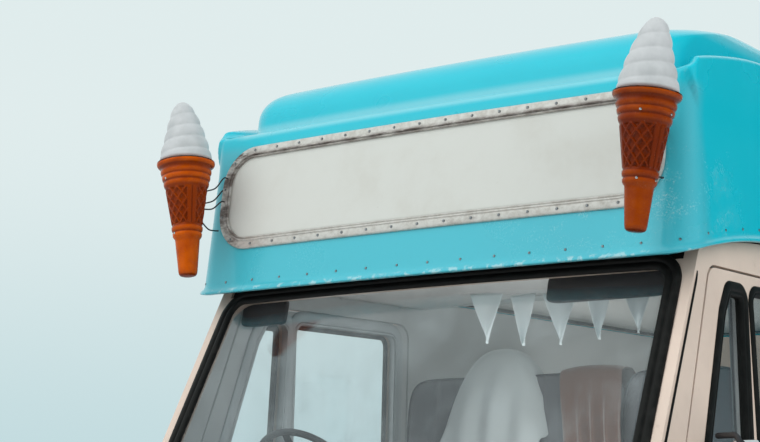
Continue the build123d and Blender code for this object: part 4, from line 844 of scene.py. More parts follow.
def draped(over, low, high, ridge, folds, depth, skew, rows=81, columns=91):
    """Cloth over a line of (y, z), from x low to high: ridge lowers its sides, folds wave below its top."""
    line = through(over, columns)
    s = np.linspace(-1, 1, rows)[:, None]
    y, z = (np.broadcast_to(line[:, k], (rows, columns)) for k in (0, 1))
    drop = line[:, 1].max() - z
    free = smooth_step(drop, 0.03, 0.26)
    outward = np.sign(y - line[np.argmax(line[:, 1]), 0])
    wave = np.sin(folds * s * pi + 0.9 * np.sin(2.3 * s) + 1.5 * drop) + 0.4 * np.sin(2.7 * folds * s + 1.0)
    x = (low + high) / 2 + s * (high - low) / 2 * (1 - 0.08 * free) + skew * drop
    y = y + outward * depth * free * (wave + 0.8)
    return np.stack([x, y, z - ridge * np.abs(s) ** 2.6 * (1 - 0.55 * free)], -1)


def flat_size(grid):
    """Width and length of a grid's cloth when flat: its mean width, and its area over that."""
    across, along = np.diff(grid, axis=0), np.diff(grid, axis=1)
    area = np.linalg.norm(np.cross(across[:, :-1], along[:-1]), axis=-1).sum()
    width = np.linalg.norm(across, axis=-1).sum(0).mean()
    return round(float(width), 3), round(float(area / width), 3)


head_pad = piece("head_pad", [soft_block((-0.285, -0.372, 1.716), (0.105, 0.040, 0.062), 2.6)], "seat_cloth")
for name, *shape, rests in COVERS:
    grid = draped(*shape)
    cover = piece(name, [grid], closed=False, thickness=COVER_THICKNESS)
    width, length = flat_size(grid)
    print(name, "cut flat:", width, "x", length, "m")

# %% [markdown]
# Inside the windscreen hang small pennants on a string and a sun visor at each side. A pennant is a square
# grid whose rows shrink towards the tip, and a slow wave keeps it from being flat. All the pennants are one
# sheet with one string. Each door window also has a trim on its inner side.

# %% Pennants, visors and cab trim
PENNANT_W, PENNANT_H, PENNANT_COUNT, PENNANT_Y = 0.118, 0.168, 6, -1.105
STRING_Z, STRING_SAG = 1.9065, 0.012
TIP_SHARE, CUT_SHARE = 0.985, 0.5075


def pennant(middle, turn):
    """A triangle of cloth hanging from its top edge, wavy and a little turned."""
    down, across = np.meshgrid(np.linspace(0, 1, 19), np.linspace(-1, 1, 15), indexing="ij")
    half = across * PENNANT_W / 2 * (1 - TIP_SHARE * down)
    wave = 0.010 * np.sin(2.4 * across + 3.0 * down + 5 * turn) * down
    x, y, z = middle
    return np.stack([x + half * cos(turn), y + wave + half * sin(turn), z - PENNANT_H * down], -1)


def string_z(x):
    """Height of the pennants' string at a place across."""
    return STRING_Z + STRING_SAG * np.cos(x * 9.0)


hang_x = np.linspace(0.10, 0.80, PENNANT_COUNT)
flags = [pennant((x, PENNANT_Y, string_z(x) - 0.0015), 0.35 * sin(23 * x)) for x in hang_x]
pennants = piece("pennants", flags, closed=False, thickness=0.0009)
string_x = np.linspace(0.0, 0.88, 60)
string = np.stack([string_x, 0 * string_x + PENNANT_Y, string_z(string_x)], 1)
piece("pennant_string", [rod(string, 0.0011, 6)])

visors = []
for x, half, z in ((0.610, 0.215, 1.893), (-0.775, 0.100, 1.890)):
    visors.append(soft_block((x, -1.205, z), (half, 0.011, 0.046), 9.0, tilt=-0.25))
    hinge = ((0.9, -1.214, 0.060), (0.9, -1.206, 0.045), (0.8, -1.204, 0.042), (-0.9, -1.204, 0.042))
    visors.append(rod([(x + share * half, y, z + up) for share, y, up in hinge], 0.004))
piece("sun_visors", visors, "dark_trim")
trim = [(reach * 0.030 - 0.020, -0.048 - 0.012 * proud) for reach, proud in GASKET[:9]]
for side, word in SIDES:
    for label, polygon, radius in (("main", MAIN, MAIN_R), ("quarter", QUARTER, QUARTER_R)):
        outline = rounded_polygon(polygon, radius, 160)
        along_outline(f"{word}_{label}_trim", outline, on_side(side), trim, None, body=f"{word}_door")
print("pennants:", len(flags))

# %% [markdown]
# Over the cab the lining is a shallow vault of light board with ribs, closed off behind by the front of the
# locker above it. The serving room keeps the canopy's own lining, so people can stand up in it.

# %% Roof lining
VAULT_Z, VAULT_RISE, RIB_GAP = 2.012, 0.030, 0.40
across, along = np.meshgrid(np.linspace(-0.895, 0.895, 61), np.linspace(-1.235, -0.030, 81), indexing="ij")
ribs = np.exp(-(((along + 1.2) % RIB_GAP - RIB_GAP / 2) / 0.012) ** 2)
vault = VAULT_Z + VAULT_RISE * (1 - (across / 0.9) ** 2) - 0.006 * ribs
front_x, front_z = np.linspace(-0.860, 0.860, 41), np.linspace(2.014, 2.600, 21)
across_front, height = np.meshgrid(front_x, front_z, indexing="ij")
folds = -0.026 - 0.004 * np.cos(across_front * pi / 0.43)
for name, grid in (("cab_lining", (across, along, vault)), ("locker_front", (across_front, folds, height))):
    piece(name, [np.stack(grid, -1)], "cabinet", closed=False, thickness=0.004)
print("cab lining:", vault.size, "points")

# %% [markdown]
# Lamps. A headlamp is a bright bowl, a bulb and a domed lens with fine flutes, in a polished ring. The small
# round indicators are turned from one profile. The number plates stay blank: plain boards with two screws.

# %% Lamps and plates
FORWARD = (0, -1, 0)
LAMP_X, LAMP_Y, LAMP_Z = 0.700, -2.232, 0.765
BOWL = mm((
    (-56, 0), (-54, 20), (-44, 45), (-24, 68), (0, 83.5), (-2, 86), (-28, 70), (-48, 47), (-59, 20),
    (-60, 0),
))
LENS = mm((
    (25.5, 0), (24.5, 20), (21.5, 40), (16, 60), (7, 78), (1, 84.5), (-2, 83), (11, 62), (17, 41),
    (20.5, 20), (21.5, 0),
))
LENS_BACK = 6  # the rows from here on are the lens's inner face, which carries the flutes
BULB = mm(((-55, 0), (-55, 12), (-30, 12), (-18, 10), (-8, 0)))
RING = mm(((-4, 84), (6, 83), (11, 86), (13, 91), (11, 96.5), (3, 99.5), (-10, 100), (-10, 90), (-4, 84)))
SOCKET = mm(((-2, 0), (-2, 34), (6, 34), (8, 31), (6, 29), (0, 0)))
AMBER = mm(((1, 0), (1, 29.5), (9, 28.5), (16, 22), (19, 11), (20, 0)))
PLATE_HALVES = (0.260, 0.004, 0.0555)
PLATES = {"front": ((0.0, -2.291, 0.583), -1), "rear": ((-0.625, 2.286, 0.600), 1)}

rings, bowls, lenses, bulbs, ambers = [], [], [], [], []
for side, _ in SIDES:
    lamp_at = (side * LAMP_X, LAMP_Y, LAMP_Z)
    lens = turned(lamp_at, FORWARD, LENS, 120)
    flutes = 0.0009 * np.sin((lens[..., 0] - lamp_at[0]) * 2 * pi / 0.0105)
    lens[LENS_BACK:, :, 1] += flutes[LENS_BACK:]
    lenses.append(lens)
    bowls.append(turned(lamp_at, FORWARD, BOWL))
    bulbs.append(turned(lamp_at, FORWARD, BULB, 20))
    rings.append(turned(lamp_at, FORWARD, RING, 96))
    spot = meets("nose_panel", (side * LAMP_X, -3.0, 0.588), (0, 1, 0))[0]
    rings.append(turned(spot, FORWARD, SOCKET))
    ambers.append(turned(spot, FORWARD, AMBER))
piece("headlamp_bowls", bowls, "chrome", ["headlamps"])
piece("headlamp_bulbs", bulbs, "glass", ["headlamps"])
piece("headlamp_lenses", lenses, "lamp_glass", ["headlamps"])
piece("lamp_rings", rings, "chrome")
piece("front_indicators", ambers)
piece("blank_plates", [soft_block(spot, PLATE_HALVES, 16.0) for spot, _ in PLATES.values()], "sign_board")
for word, ((x, y, z), way) in PLATES.items():
    screws(f"{word}_plate_screws", [(x + dx, y + 0.004 * way, z) for dx in (-0.2, 0.2)], (0, way, 0), 0.006)
print("lamp pieces:", len(rings) + len(bowls))

# %% [markdown]
# A wiper is an arm from its pivot to the middle of a blade. The blade could be a straight bar, but it has to
# lie on the bowed glass, so its line goes through the screen's own surface function.

# %% Wipers
PIVOT_Z, BLADE_Z, BLADE_HALF = 1.195, 1.278, 0.24
PIVOT = mm(((-4, 0), (-4, 17), (12, 15), (28, 10), (31, 0)))
wiper_parts, blade_parts = [], []
for pivot_x, middle_x in ((-0.06, -0.34), (0.62, 0.34)):
    along = np.linspace(-BLADE_HALF, BLADE_HALF, 25)
    blade_x, blade_z = middle_x + along, BLADE_Z + 0.02 * along
    blade_parts.append(rod(on_screen(blade_x, blade_z, 0.010), 0.0042, 8))
    wiper_parts.append(rod(on_screen(blade_x[3:-3], blade_z[3:-3], 0.0175), 0.0028, 8))
    arm_x, arm_z = (pivot_x, pivot_x * 0.7 + middle_x * 0.3, middle_x), (PIVOT_Z, 1.222, BLADE_Z)
    arm = on_screen(*(np.array(values) for values in (arm_x, arm_z, (0.022, 0.034, 0.020))))
    wiper_parts.append(rod(through(arm, 20), np.linspace(0.0065, 0.0036, 20), 8))
    pivot = on_screen(np.array(pivot_x), np.array(PIVOT_Z), np.array(0.0))
    wiper_parts.append(turned(pivot, (0, -cos(RAKE), sin(RAKE)), PIVOT, 24))
piece("wiper_arms", wiper_parts, "steel")
piece("wiper_blades", blade_parts, "seal_rubber")
print("wiper parts:", len(wiper_parts) + len(blade_parts))

# %% [markdown]
# A door handle is a bent lever on a round plate with a lock below it. A line cast from outside finds the
# door's skin, so each part sits on it wherever the door is. The mirrors get a thin glass, and the right side
# gets the cap of the fuel filler.

# %% Handles, mirrors and fuel cap
HANDLE_PLATE = mm(((-2, 0), (-2, 21), (4, 21), (6, 18), (6.5, 0)))
LOCK = mm(((-2, 0), (-2, 11), (4, 11), (5, 9), (3.5, 0)))
LEVER = ((0.0, 0.0), (0.026, 0.0), (0.032, 0.12), (0.030, 0.6), (0.024, 1.0))  # off the door, along the reach
FUEL_CAP = mm(((-2, 0), (-2, 52), (4, 52), (6, 47), (6, 42), (20, 40), (24, 34), (25, 0)))


def handle(body, start, way, reach):
    """A lever handle on a round plate, lying along reach from the place where a line meets a door."""
    spot, facing = meets(body, start, way)
    line = [spot + facing * off + np.asarray(reach) * share for off, share in LEVER]
    lever = rod(through(line, 24), 0.0065 + 0.002 * np.linspace(0, 1, 24) ** 2, 12)
    plate, lock = turned(spot, facing, HANDLE_PLATE, 32), turned(spot - (0, 0, 0.055), facing, LOCK, 24)
    piece(f"{body}_handle", [plate, lock, lever], "chrome", body=body)


for side, word in SIDES:
    handle(f"{word}_door", (side * 1.5, -0.215, 1.090), (-side, 0, 0), (0, -0.110, 0))
handle("rear_door", (0.285, 3.0, 1.090), (0, -1, 0), (-0.110, 0, 0))
for side, word in SIDES:
    spot = meets(f"{word}_mirror", (side * 1.09, 0.0, 1.335), (0, -1, 0))[0]
    mirror = soft_block(spot + (0, 0.0005, 0), (0.042, 0.0022, 0.070), 12.0)
    piece(f"{word}_mirror_glass", [mirror], "chrome", body=f"{word}_door")
filler = meets("right_side_wall", (-2.0, 0.36, 0.800), (1, 0, 0))[0]
piece("fuel_cap", [turned(filler, (-1, 0, 0), FUEL_CAP, 60)], "grille_metal")
print("pieces so far:", len(PIECES))

# %% [markdown]
# The light is an overcast sky: soft, even and a little stronger from above and ahead. Three broad lamps
# stand for the brighter parts of the sky, two small ones for the light that the canopy lets into the cab and
# the serving room, and the world's own light does the rest. The background is made pale only for the camera,
# for gloss and for what is seen through glass, so it adds no light.

# %% Stage and light
SKY_HIGH, SKY_LOW, SKY_BEHIND = (0.745, 0.840, 0.842), (0.53, 0.70, 0.73), (0.008, 0.10, 0.12)
FLOOR, FLOOR_SIZE = (0.62, 0.63, 0.63), 40
LAMPS = (  # name, size in metres, watts, place, what it faces
    ("sky_lamp", 9, 720, (-2.5, -8.0, 8.5), (0, -0.5, 1.5)),
    ("fill_lamp", 8, 430, (8.0, -1.0, 5.5), (0, 0, 1.2)),
    ("back_lamp", 7, 170, (-6.0, 7.0, 6.0), (0, 0, 1.2)),
    ("cab_lamp", 1.0, 9, (0.25, -0.95, 1.15), (0.0, 0.2, 2.0)),
    ("hold_lamp", 1.2, 9, (0.10, 1.10, 1.20), (0.0, 1.0, 2.0)),
)
for name, size, power, at, towards in LAMPS:
    data = bpy.data.lights.new(name, "AREA")
    data.size, data.energy = size, power
    lamp = bpy.data.objects.new(name, data)
    lamp.location = at
    aim = unit(np.array(at, float) - np.array(towards, float))
    lamp.rotation_euler = (atan2(np.hypot(aim[0], aim[1]), aim[2]), 0, atan2(aim[1], aim[0]) + pi / 2)
    lamp.visible_glossy = False
    lamp.visible_camera = False
    SCENE.collection.objects.link(lamp)

floor_mesh = bpy.data.meshes.new("floor")
floor_corners = [(x * FLOOR_SIZE, y * FLOOR_SIZE, 0) for x, y in ((-1, -1), (1, -1), (1, 1), (-1, 1))]
floor_mesh.from_pydata(floor_corners, [], [(0, 1, 2, 3)])
floor = bpy.data.objects.new("floor", floor_mesh)
SCENE.collection.objects.link(floor)
SCENE.view_settings.view_transform = "Standard"
print("lamps:", len(LAMPS))

# %% [markdown]
# Finishes are written as maths. A small class stands for a number that changes over a surface, and adding,
# multiplying or comparing such numbers adds the nodes for it. Colours are mixed with Mix nodes instead,
# because a Math node would turn them grey.

# %% Signals
class Signal:
    """A number that varies over a surface; Python's operators on it add Math nodes."""

    def __init__(self, finish, socket):
        self.finish, self.socket = finish, socket

    def maths(self, operation, *terms):
        node = self.finish.node("Math", {"operation": operation}, dict(enumerate(terms)))
        return Signal(self.finish, node.outputs[0])

    def __add__(self, other):
        return self.maths("ADD", self, other)

    def __radd__(self, other):
        return self.maths("ADD", other, self)

    def __sub__(self, other):
        return self.maths("SUBTRACT", self, other)

    def __rsub__(self, other):
        return self.maths("SUBTRACT", other, self)

    def __mul__(self, other):
        return self.maths("MULTIPLY", self, other)

    def __rmul__(self, other):
        return self.maths("MULTIPLY", other, self)

    def over(self, edge):
        return self.maths("GREATER_THAN", self, edge)

    def wave(self):
        return self.maths("SINE", self)

    def size(self):
        return self.maths("ABSOLUTE", self)

    def at_most(self, other):
        return self.maths("MINIMUM", self, other)

    def at_least(self, other):
        return self.maths("MAXIMUM", self, other)

    def between(self, low, high):
        """0 at low and 1 at high, held beyond them and smooth between."""
        settings = {"interpolation_type": "SMOOTHSTEP"}
        node = self.finish.node("MapRange", settings, {"Value": self, "From Min": low, "From Max": high})
        return Signal(self.finish, node.outputs["Result"])


# %% [markdown]
# A node tree gets one method that adds any node: its kind, its settings, and the values of its sockets. A
# finish is such a tree with a Principled surface, so each recipe below is a few lines of what changes where.

# %% Node trees and finishes
class Nodes:
    """A node tree, with short ways to add nodes and to feed their sockets."""

    def __init__(self, tree):
        self.tree = tree

    def node(self, kind, settings=None, values=None):
        """Any node: its settings first, then values or links for its sockets."""
        node = self.tree.nodes.new("ShaderNode" + kind)
        for name, value in (settings or {}).items():
            setattr(node, name, value)
        for key, value in (values or {}).items():
            self.feed(node.inputs[key], value)
        return node

    def feed(self, socket, value):
        """A value goes into a socket, or a link to it. A colour of three numbers is made opaque."""
        if isinstance(value, Signal):
            value = value.socket
        if isinstance(value, bpy.types.NodeSocket):
            self.tree.links.new(value, socket)
        elif socket.type == "RGBA" and len(value) == 3:
            socket.default_value = (*value, 1)
        else:
            socket.default_value = value

    def mix(self, factor, low, high):
        """A colour between two colours."""
        return self.node("Mix", {"data_type": "RGBA"}, {0: factor, 6: low, 7: high}).outputs[2]


class Finish(Nodes):
    """One material: a Principled surface and short ways to feed it."""

    def __init__(self, name, colour, **sockets):
        self.material = bpy.data.materials.new(name)
        self.material.use_nodes = True
        super().__init__(self.material.node_tree)
        self.shader = self.tree.nodes["Principled BSDF"]
        self.place = self.node("TexCoord").outputs["Object"]
        self.set("Base Color", colour)
        for socket, value in sockets.items():
            self.set(socket.replace("_", " "), value)

    def set(self, socket, value):
        self.feed(self.shader.inputs[socket], value)

    def noise(self, scale, detail=3.0, roughness=0.5, stretch=(1, 1, 1)):
        """Cloudy numbers from 0 to 1; scale is in lumps per metre."""
        spot = self.node("Mapping", None, {"Vector": self.place, "Scale": stretch}).outputs[0]
        values = {"Vector": spot, "Scale": scale, "Detail": detail, "Roughness": roughness}
        return Signal(self, self.node("TexNoise", None, values).outputs["Fac"])

    def axis(self, letter):
        """One of the object's own coordinates in metres."""
        return Signal(self, self.node("SeparateXYZ", None, {0: self.place}).outputs[letter.upper()])

    def skin(self, colour, roughness, relief, depth, strength):
        """What varies over the surface: its colour, roughness and fine relief of depth metres."""
        self.set("Base Color", colour)
        self.set("Roughness", roughness)
        bump = self.node("Bump", None, {"Strength": strength, "Distance": depth, "Height": relief})
        self.set("Normal", bump.outputs[0])
        return self


def shade(colour, share):
    """A colour made darker or lighter."""
    return tuple(min(1, part * share) for part in colour)


def wear(finish, colour, dirt, amount):
    """A colour with broad, faint changes and a little dirt in patches."""
    broad = finish.noise(3.0, 4, 0.6).between(0.35, 0.75)
    patches = finish.noise(21.0, 5, 0.65).between(0.60, 0.82)
    return finish.mix(patches * amount, finish.mix(broad, shade(colour, 0.93), shade(colour, 1.05)), dirt)


# %% [markdown]
# The canopy is gel coat on glass fibre: even turquoise, scuffed pale along the lip, with painted highlights
# on its ledge and crown and a paler painted tint on its front where the light falls.
# The body is cream enamel, and its inner faces take the grey of the cab. The sign's board is old paint and
# its strip weathered aluminium. Images could be painted for them, but recipes of noise and height need no
# file and stay sharp from near and far.

# %% Gel coat, enamel and board
def gel_coat():
    """Turquoise gel coat: glossy, scuffed pale along the lip and the near corner, with painted highlights on
    the ledge and crown and a paler painted tint on the front.
    """
    turquoise, faded, chalk = (0.0, 0.480, 0.585), (0.002, 0.510, 0.610), (0.42, 0.66, 0.68)
    band, pale, pit = (0.055, 0.460, 0.545), (0.22, 0.60, 0.66), (0.015, 0.16, 0.19)
    f = Finish("gel_coat", turquoise, Coat_Weight=0.45, Coat_Roughness=0.10)
    cloud = f.noise(1.6, 4, 0.55).between(0.30, 0.75)
    up, along, side = f.axis("z"), f.axis("y"), f.axis("x")
    near = (1 - (up - 2.13).size().between(0.02, 0.20)) * (1 - (along + 1.26).size().between(0.05, 0.32))
    scuffs = f.noise(160, 3, 0.8).between(0.50, 0.66) * f.noise(9, 4, 0.7).between(0.46, 0.66) * near
    lip = (1 - (up - 1.955).between(0.004, 0.014)) * f.noise(30, 3, 0.7).between(0.50, 0.62)
    lip = lip * (1 - along.between(-1.3, -1.0))
    # The front face below the ledge takes a paler painted tint (band), standing for the light that falls on
    # it.
    front = (1 - along.between(-1.27, -1.20)) * (1 - up.between(2.46, 2.50))
    # Painted highlights: a pale line along the ledge's edge and a pale strip over the dome's crown.
    ledge = up.between(2.505, 2.525) * (1 - up.between(2.545, 2.575)) * (1 - side.size().between(0.80, 0.86))
    crown_highlight = up.between(2.690, 2.745) * (0.7 + 0.3 * cloud)
    colour = f.mix(front * 0.9, f.mix(cloud, turquoise, faded), band)
    colour = f.mix((ledge * 0.75 + crown_highlight * 0.8).at_most(1.0), colour, pale)
    colour = f.mix((scuffs * side.between(0.2, 0.8) + lip * 0.7).at_most(0.85), colour, chalk)
    colour = f.mix(f.noise(420, 1, 0.5).over(0.735) * 0.55, colour, pit)
    return f.skin(colour, 0.24 + 0.10 * cloud + 0.25 * scuffs, f.noise(14, 2, 0.4), 0.0016, 0.25)


def enamel():
    """Cream enamel: warm, a little chalky, grimy in patches outside, and grey where it faces the cab."""
    cream, grime, inside = (0.70, 0.565, 0.465), (0.38, 0.27, 0.20), (0.40, 0.43, 0.43)
    f = Finish("enamel", cream, Coat_Weight=0.25, Coat_Roughness=0.2)
    depth = f.axis("x").size() + 0.0307 * (f.axis("z") - 1.165)
    ahead = f.axis("y") - 0.538 * (f.axis("z") - 1.888) + 1.245
    ends = (1 - ahead.between(0.0, 0.02)) + f.axis("y").between(2.19, 2.21)
    outside = depth.between(0.938, 0.946) + (1 - f.axis("z").between(1.17, 1.19)) + ends
    colour = f.mix(outside.at_most(1.0), inside, wear(f, cream, grime, 0.35))
    return f.skin(colour, 0.34 + 0.14 * f.noise(22, 3, 0.6), f.noise(90, 3, 0.5), 0.0004, 0.3)


def board_paint():
    """Off-white sign board: flat paint with faint yellowing and small marks near the rim."""
    white, yellowed, mark = (0.600, 0.615, 0.565), (0.565, 0.570, 0.515), (0.36, 0.33, 0.28)
    f = Finish("board_paint", white, Specular_IOR_Level=0.35)
    stains = f.noise(5, 5, 0.65).between(0.42, 0.80)
    marks = f.noise(55, 4, 0.7).between(0.68, 0.80)
    colour = f.mix(marks * 0.3, f.mix(stains, white, yellowed), mark)
    return f.skin(colour, 0.42 + 0.18 * stains, f.noise(60, 3, 0.5), 0.0005, 0.35)


def rim_strip():
    """Weathered strip: chalky aluminium with brown grime that gathers along the inner top edge."""
    light, dull, brown = (0.68, 0.66, 0.61), (0.52, 0.49, 0.44), (0.055, 0.030, 0.020)
    f = Finish("rim_strip", light)
    x, z = f.axis("x"), f.axis("z")
    blotch = f.noise(9, 5, 0.7, (1, 1, 3))
    top = z.between(2.425, 2.450) * (1 - z.between(2.448, 2.462)) * blotch.between(0.30, 0.62)
    left = (1 - (x + 0.80).between(0.0, 0.09)) * blotch.between(0.35, 0.62)
    low = (1 - (z - 2.115).size().between(0.0, 0.03)) * blotch.between(0.55, 0.75)
    grime = (top * 0.9 + left * 0.85 + low * 0.5).at_most(0.92)
    f.set("Metallic", 0.45 * (1 - grime))
    colour = f.mix(grime, f.mix(f.noise(40, 4, 0.7).between(0.35, 0.7), light, dull), brown)
    return f.skin(colour, 0.38 + 0.3 * grime, f.noise(140, 4, 0.6), 0.0006, 0.4)


# %% [markdown]
# The cones are glossy plastic and the swirls a satin one. The depth kept with the cone's mesh darkens the
# grooves of the waffle as painted shade, and a painted shadow darkens the near cone.

# %% Cones and swirls
def cone_plastic():
    """Glossy orange-brown plastic with tiny dust marks, painted shade in its grooves and a painted shadow on
    the near cone.
    """
    orange, brown, painted_groove_shade = (0.58, 0.100, 0.0), (0.40, 0.055, 0.0), (0.13, 0.012, 0.0)
    shadow, dust = (0.08, 0.006, 0.0), (0.75, 0.42, 0.25)
    f = Finish("cone_plastic", orange, Coat_Weight=0.10, Coat_Roughness=0.06, Specular_IOR_Level=0.12)
    cloud = f.noise(18, 4, 0.6).between(0.3, 0.75)
    groove = Signal(f, f.node("Attribute", {"attribute_name": "groove"}).outputs["Fac"])
    # Painted shade in the waffle's grooves, darker where the mesh lies deeper.
    colour = f.mix(groove.between(0.05, 0.9) * 0.75, f.mix(cloud, orange, brown), painted_groove_shade)
    # Painted shadow over the near cone.
    colour = f.mix(f.axis("x").between(0.2, 0.6) * 0.50, colour, shadow)
    colour = f.mix(f.noise(240, 2, 0.6).between(0.68, 0.76) * 0.25, colour, dust)
    return f.skin(colour, 0.22 + 0.12 * cloud, f.noise(45, 3, 0.5), 0.0008, 0.3)


def swirl_plastic():
    """Satin off-white plastic, faintly grey in patches."""
    white, grey, mark = (0.54, 0.555, 0.55), (0.44, 0.46, 0.455), (0.20, 0.19, 0.18)
    f = Finish("swirl_plastic", white, Subsurface_Weight=0.12, Subsurface_Radius=(0.03, 0.03, 0.03))
    cloud = f.noise(14, 4, 0.6).between(0.3, 0.8)
    marks = f.noise(180, 3, 0.7).between(0.69, 0.78)
    colour = f.mix(marks * 0.5, f.mix(cloud, white, grey), mark)
    return f.skin(colour, 0.36 + 0.12 * cloud, f.noise(60, 3, 0.5), 0.0007, 0.3)


# %% [markdown]
# The rest comes from five kinds: rubber, glass, metal, paint and cloth. Each is a function of a colour and a
# few numbers, so many pieces share one recipe and differ only in its values. Glass mixes a see-through shader
# with a sheen that grows at grazing angles, because without the sheen a window would look empty.

# %% Rubber, glass and metals
GRIME, DUST = (0.09, 0.065, 0.045), (0.10, 0.085, 0.07)


def rubber(name="rubber", colour=(0.007, 0.0068, 0.006)):
    """Black rubber: matt, greying where it weathers."""
    f = Finish(name, colour, Specular_IOR_Level=0.22)
    age = f.noise(30, 4, 0.65).between(0.4, 0.8)
    greyed = tuple(part * 1.9 + 0.004 for part in colour)
    return f.skin(f.mix(age, colour, greyed), 0.55 + 0.25 * age, f.noise(300, 3, 0.6), 0.0004, 0.4)


def glass(name="window_glass", tint=(0.975, 0.985, 0.985)):
    """Thin glass: see-through, with a sky sheen that grows at grazing angles and a breath of dust."""
    f = Finish(name, (0.80, 0.84, 0.86), Roughness=0.03, Metallic=0.9)
    clear = f.node("BsdfTransparent", None, {"Color": tint})
    facing = Signal(f, f.node("LayerWeight", None, {"Blend": 0.5}).outputs["Facing"])
    squared = facing * facing
    fresnel = squared * squared * facing * 0.96 + 0.04
    dust = f.noise(6, 5, 0.7).between(0.40, 0.85) * 0.10
    share = (fresnel + dust + 0.02).at_most(1.0)
    mixed = f.node("MixShader", None, {0: share, 1: clear.outputs[0], 2: f.shader.outputs[0]})
    f.tree.links.new(mixed.outputs[0], f.tree.nodes["Material Output"].inputs["Surface"])
    return f


def metal(name, colour, rough, scratch, grain=(1, 1, 1), dirt=0.0):
    """Bare or plated metal with fine scratches, a slight haze and some dirt."""
    f = Finish(name, colour, Metallic=1.0)
    haze = f.noise(18, 4, 0.6).between(0.35, 0.8)
    patches = f.noise(7, 5, 0.7).between(0.5, 0.8) * dirt
    colour = f.mix(patches, f.mix(haze, colour, shade(colour, 0.82)), GRIME)
    return f.skin(colour, rough + scratch * haze, f.noise(260, 3, 0.6, grain), 0.0002, 0.06)


def painted(name, colour, rough, relief=0.0006, dirt=0.2, scale=120):
    """A painted or moulded part: broad colour change, some dirt and a fine skin."""
    f = Finish(name, colour)
    worn = wear(f, colour, DUST, dirt)
    return f.skin(worn, rough + 0.15 * f.noise(25, 3, 0.6), f.noise(scale, 3, 0.55), relief, 0.35)


def cloth(name, dark, light, threads=900):
    """Woven cloth: crossing threads from two sine waves, with fibre noise in between."""
    f = Finish(name, dark, Sheen_Weight=0.3)
    warp = (f.axis("x") * threads + f.noise(40, 2) * 3).wave()
    weft = (f.axis("z") * threads + f.axis("y") * threads * 0.6).wave()
    weave = (warp * weft * 0.5 + 0.5).at_most(1.0)
    colour = f.mix(weave * 0.6 + f.noise(30, 4, 0.7) * 0.4, dark, light)
    return f.skin(colour, 0.8 + 0.15 * weave, weave * 0.6 + f.noise(500, 2) * 0.4, 0.0009, 0.5)


# %% [markdown]
# Each record slot gets one finish. A table ties the slots to the finishes, and every CAD node that is still
# shown takes the finish of its own slot, so nothing is left in a plain colour.

# %% Give every piece its finish
BY_SLOT = {
    "canopy_paint": gel_coat(),
    "body_paint": enamel(),
    "sign_board": board_paint(),
    "sign_rim": rim_strip(),
    "cone_shell": cone_plastic(),
    "cone_swirl": swirl_plastic(),
    "seal_rubber": rubber(),
    "tyre": rubber("tyre_rubber", (0.022, 0.022, 0.022)),
    "wheel_paint": painted("wheel_enamel", (0.66, 0.58, 0.50), 0.32),
    "glass": glass(),
    "chrome": metal("chrome", (0.72, 0.72, 0.72), 0.10, 0.12),
    "grille_metal": metal("polished_bars", (0.66, 0.67, 0.68), 0.22, 0.12),
    "lamp_glass": glass("lamp_lens", (0.96, 0.97, 0.98)),
    "tail_glass": painted("tail_lens", (0.48, 0.020, 0.012), 0.12, 0.0004, 0.05),
    "black_metal": painted("chassis_paint", (0.022, 0.022, 0.024), 0.45, 0.0008, 0.5),
    "exhaust_metal": metal("dull_steel", (0.26, 0.22, 0.19), 0.5, 0.2, dirt=0.6),
    "engine_metal": painted("iron_paint", (0.10, 0.12, 0.12), 0.5, 0.001, 0.6),
    "steel": metal("machined_steel", (0.42, 0.42, 0.43), 0.35, 0.2, dirt=0.4),
    "floor_vinyl": painted("floor_vinyl", (0.10, 0.10, 0.105), 0.5, 0.0006, 0.3, 200),
    "dark_trim": painted("dark_trim", (0.030, 0.030, 0.033), 0.42, 0.0007, 0.15, 350),
    "seat_cloth": cloth("seat_cloth", (0.045, 0.047, 0.052), (0.085, 0.088, 0.095)),
    "cabinet": painted("laminate", (0.80, 0.82, 0.80), 0.3, 0.0003, 0.08),
    "stainless": metal("stainless", (0.58, 0.58, 0.59), 0.26, 0.12, (1, 12, 1)),
}
trim_grey = painted("trim_grey", (0.36, 0.40, 0.41), 0.5, 0.0006, 0.1, 300)
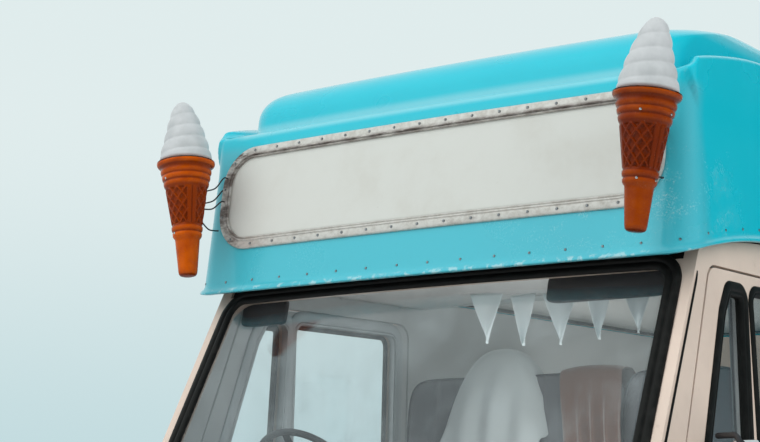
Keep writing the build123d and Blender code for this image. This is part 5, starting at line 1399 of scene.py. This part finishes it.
OWN = {
    "grey_cover": cloth("grey_cloth", (0.28, 0.31, 0.31), (0.42, 0.46, 0.46)),
    "brown_cover": cloth("brown_cloth", (0.080, 0.038, 0.024), (0.115, 0.062, 0.044)),
    "pennants": cloth("pennant_cloth", (0.62, 0.72, 0.73), (0.85, 0.92, 0.92), 700),
    "pennant_string": cloth("string", (0.6, 0.6, 0.6), (0.8, 0.8, 0.8)),
    "front_indicators": painted("amber_lens", (0.70, 0.20, 0.010), 0.12, 0.0004, 0.05),
    **{f"{word}_{label}_trim": trim_grey for _, word in SIDES for label in ("main", "quarter")},
}


def dress(thing, finish):
    """Puts one finish on every slot of a piece."""
    thing.data.materials.clear()
    thing.data.materials.append(finish.material)


slot_of = {part["node"]: part["material_slot"] for part in frame["record"]["subparts"]}
for name, thing in NODES.items():
    dress(thing, BY_SLOT[slot_of[name]])
for name, thing in PIECES.items():
    dress(thing, OWN[name] if name in OWN else BY_SLOT[thing["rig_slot"]])
print("finishes:", len(BY_SLOT), "by slot,", len(OWN), "of their own")

# %% [markdown]
# The world shows a pale sky behind the truck and in its gloss, and lights it with a plain soft colour. Gloss
# that looks out to the truck's left sees a dark tone instead of the sky, so that the shiny side panels and
# the glass don't wash out.

# %% Floor and sky
pavement = Finish("pavement", FLOOR, Roughness=0.8)
pavement.set("Base Color", pavement.mix(pavement.noise(2, 4, 0.6), FLOOR, shade(FLOOR, 0.94)))
dress(floor, pavement)

world = bpy.data.worlds.new("sky")
world.use_nodes = True
SCENE.world = world
world.node_tree.nodes.clear()
sky = Nodes(world.node_tree)
path = sky.node("LightPath").outputs
way = sky.node("SeparateXYZ", None, {0: sky.node("TexCoord").outputs["Generated"]}).outputs
upward, sideways = Signal(sky, way["Z"]), Signal(sky, way["X"])
mirrored = Signal(sky, path["Is Glossy Ray"])
camera_ray, through_glass = (Signal(sky, path[kind]) for kind in ("Is Camera Ray", "Is Transmission Ray"))
seen = camera_ray.at_least(mirrored).at_least(through_glass)
clouds = sky.mix(upward.between(-0.02, 0.22), SKY_LOW, SKY_HIGH)
around = sky.mix(mirrored * sideways.between(-0.05, 0.30), clouds, SKY_BEHIND)
light = sky.node("Background", None, {"Color": (0.86, 0.93, 1.0), "Strength": 0.55})
backdrop = sky.node("Background", None, {"Color": around})
choose = sky.node("MixShader", None, {0: seen, 1: light.outputs[0], 2: backdrop.outputs[0]})
sky.node("OutputWorld", None, {"Surface": choose.outputs[0]})
print("world nodes:", len(world.node_tree.nodes))
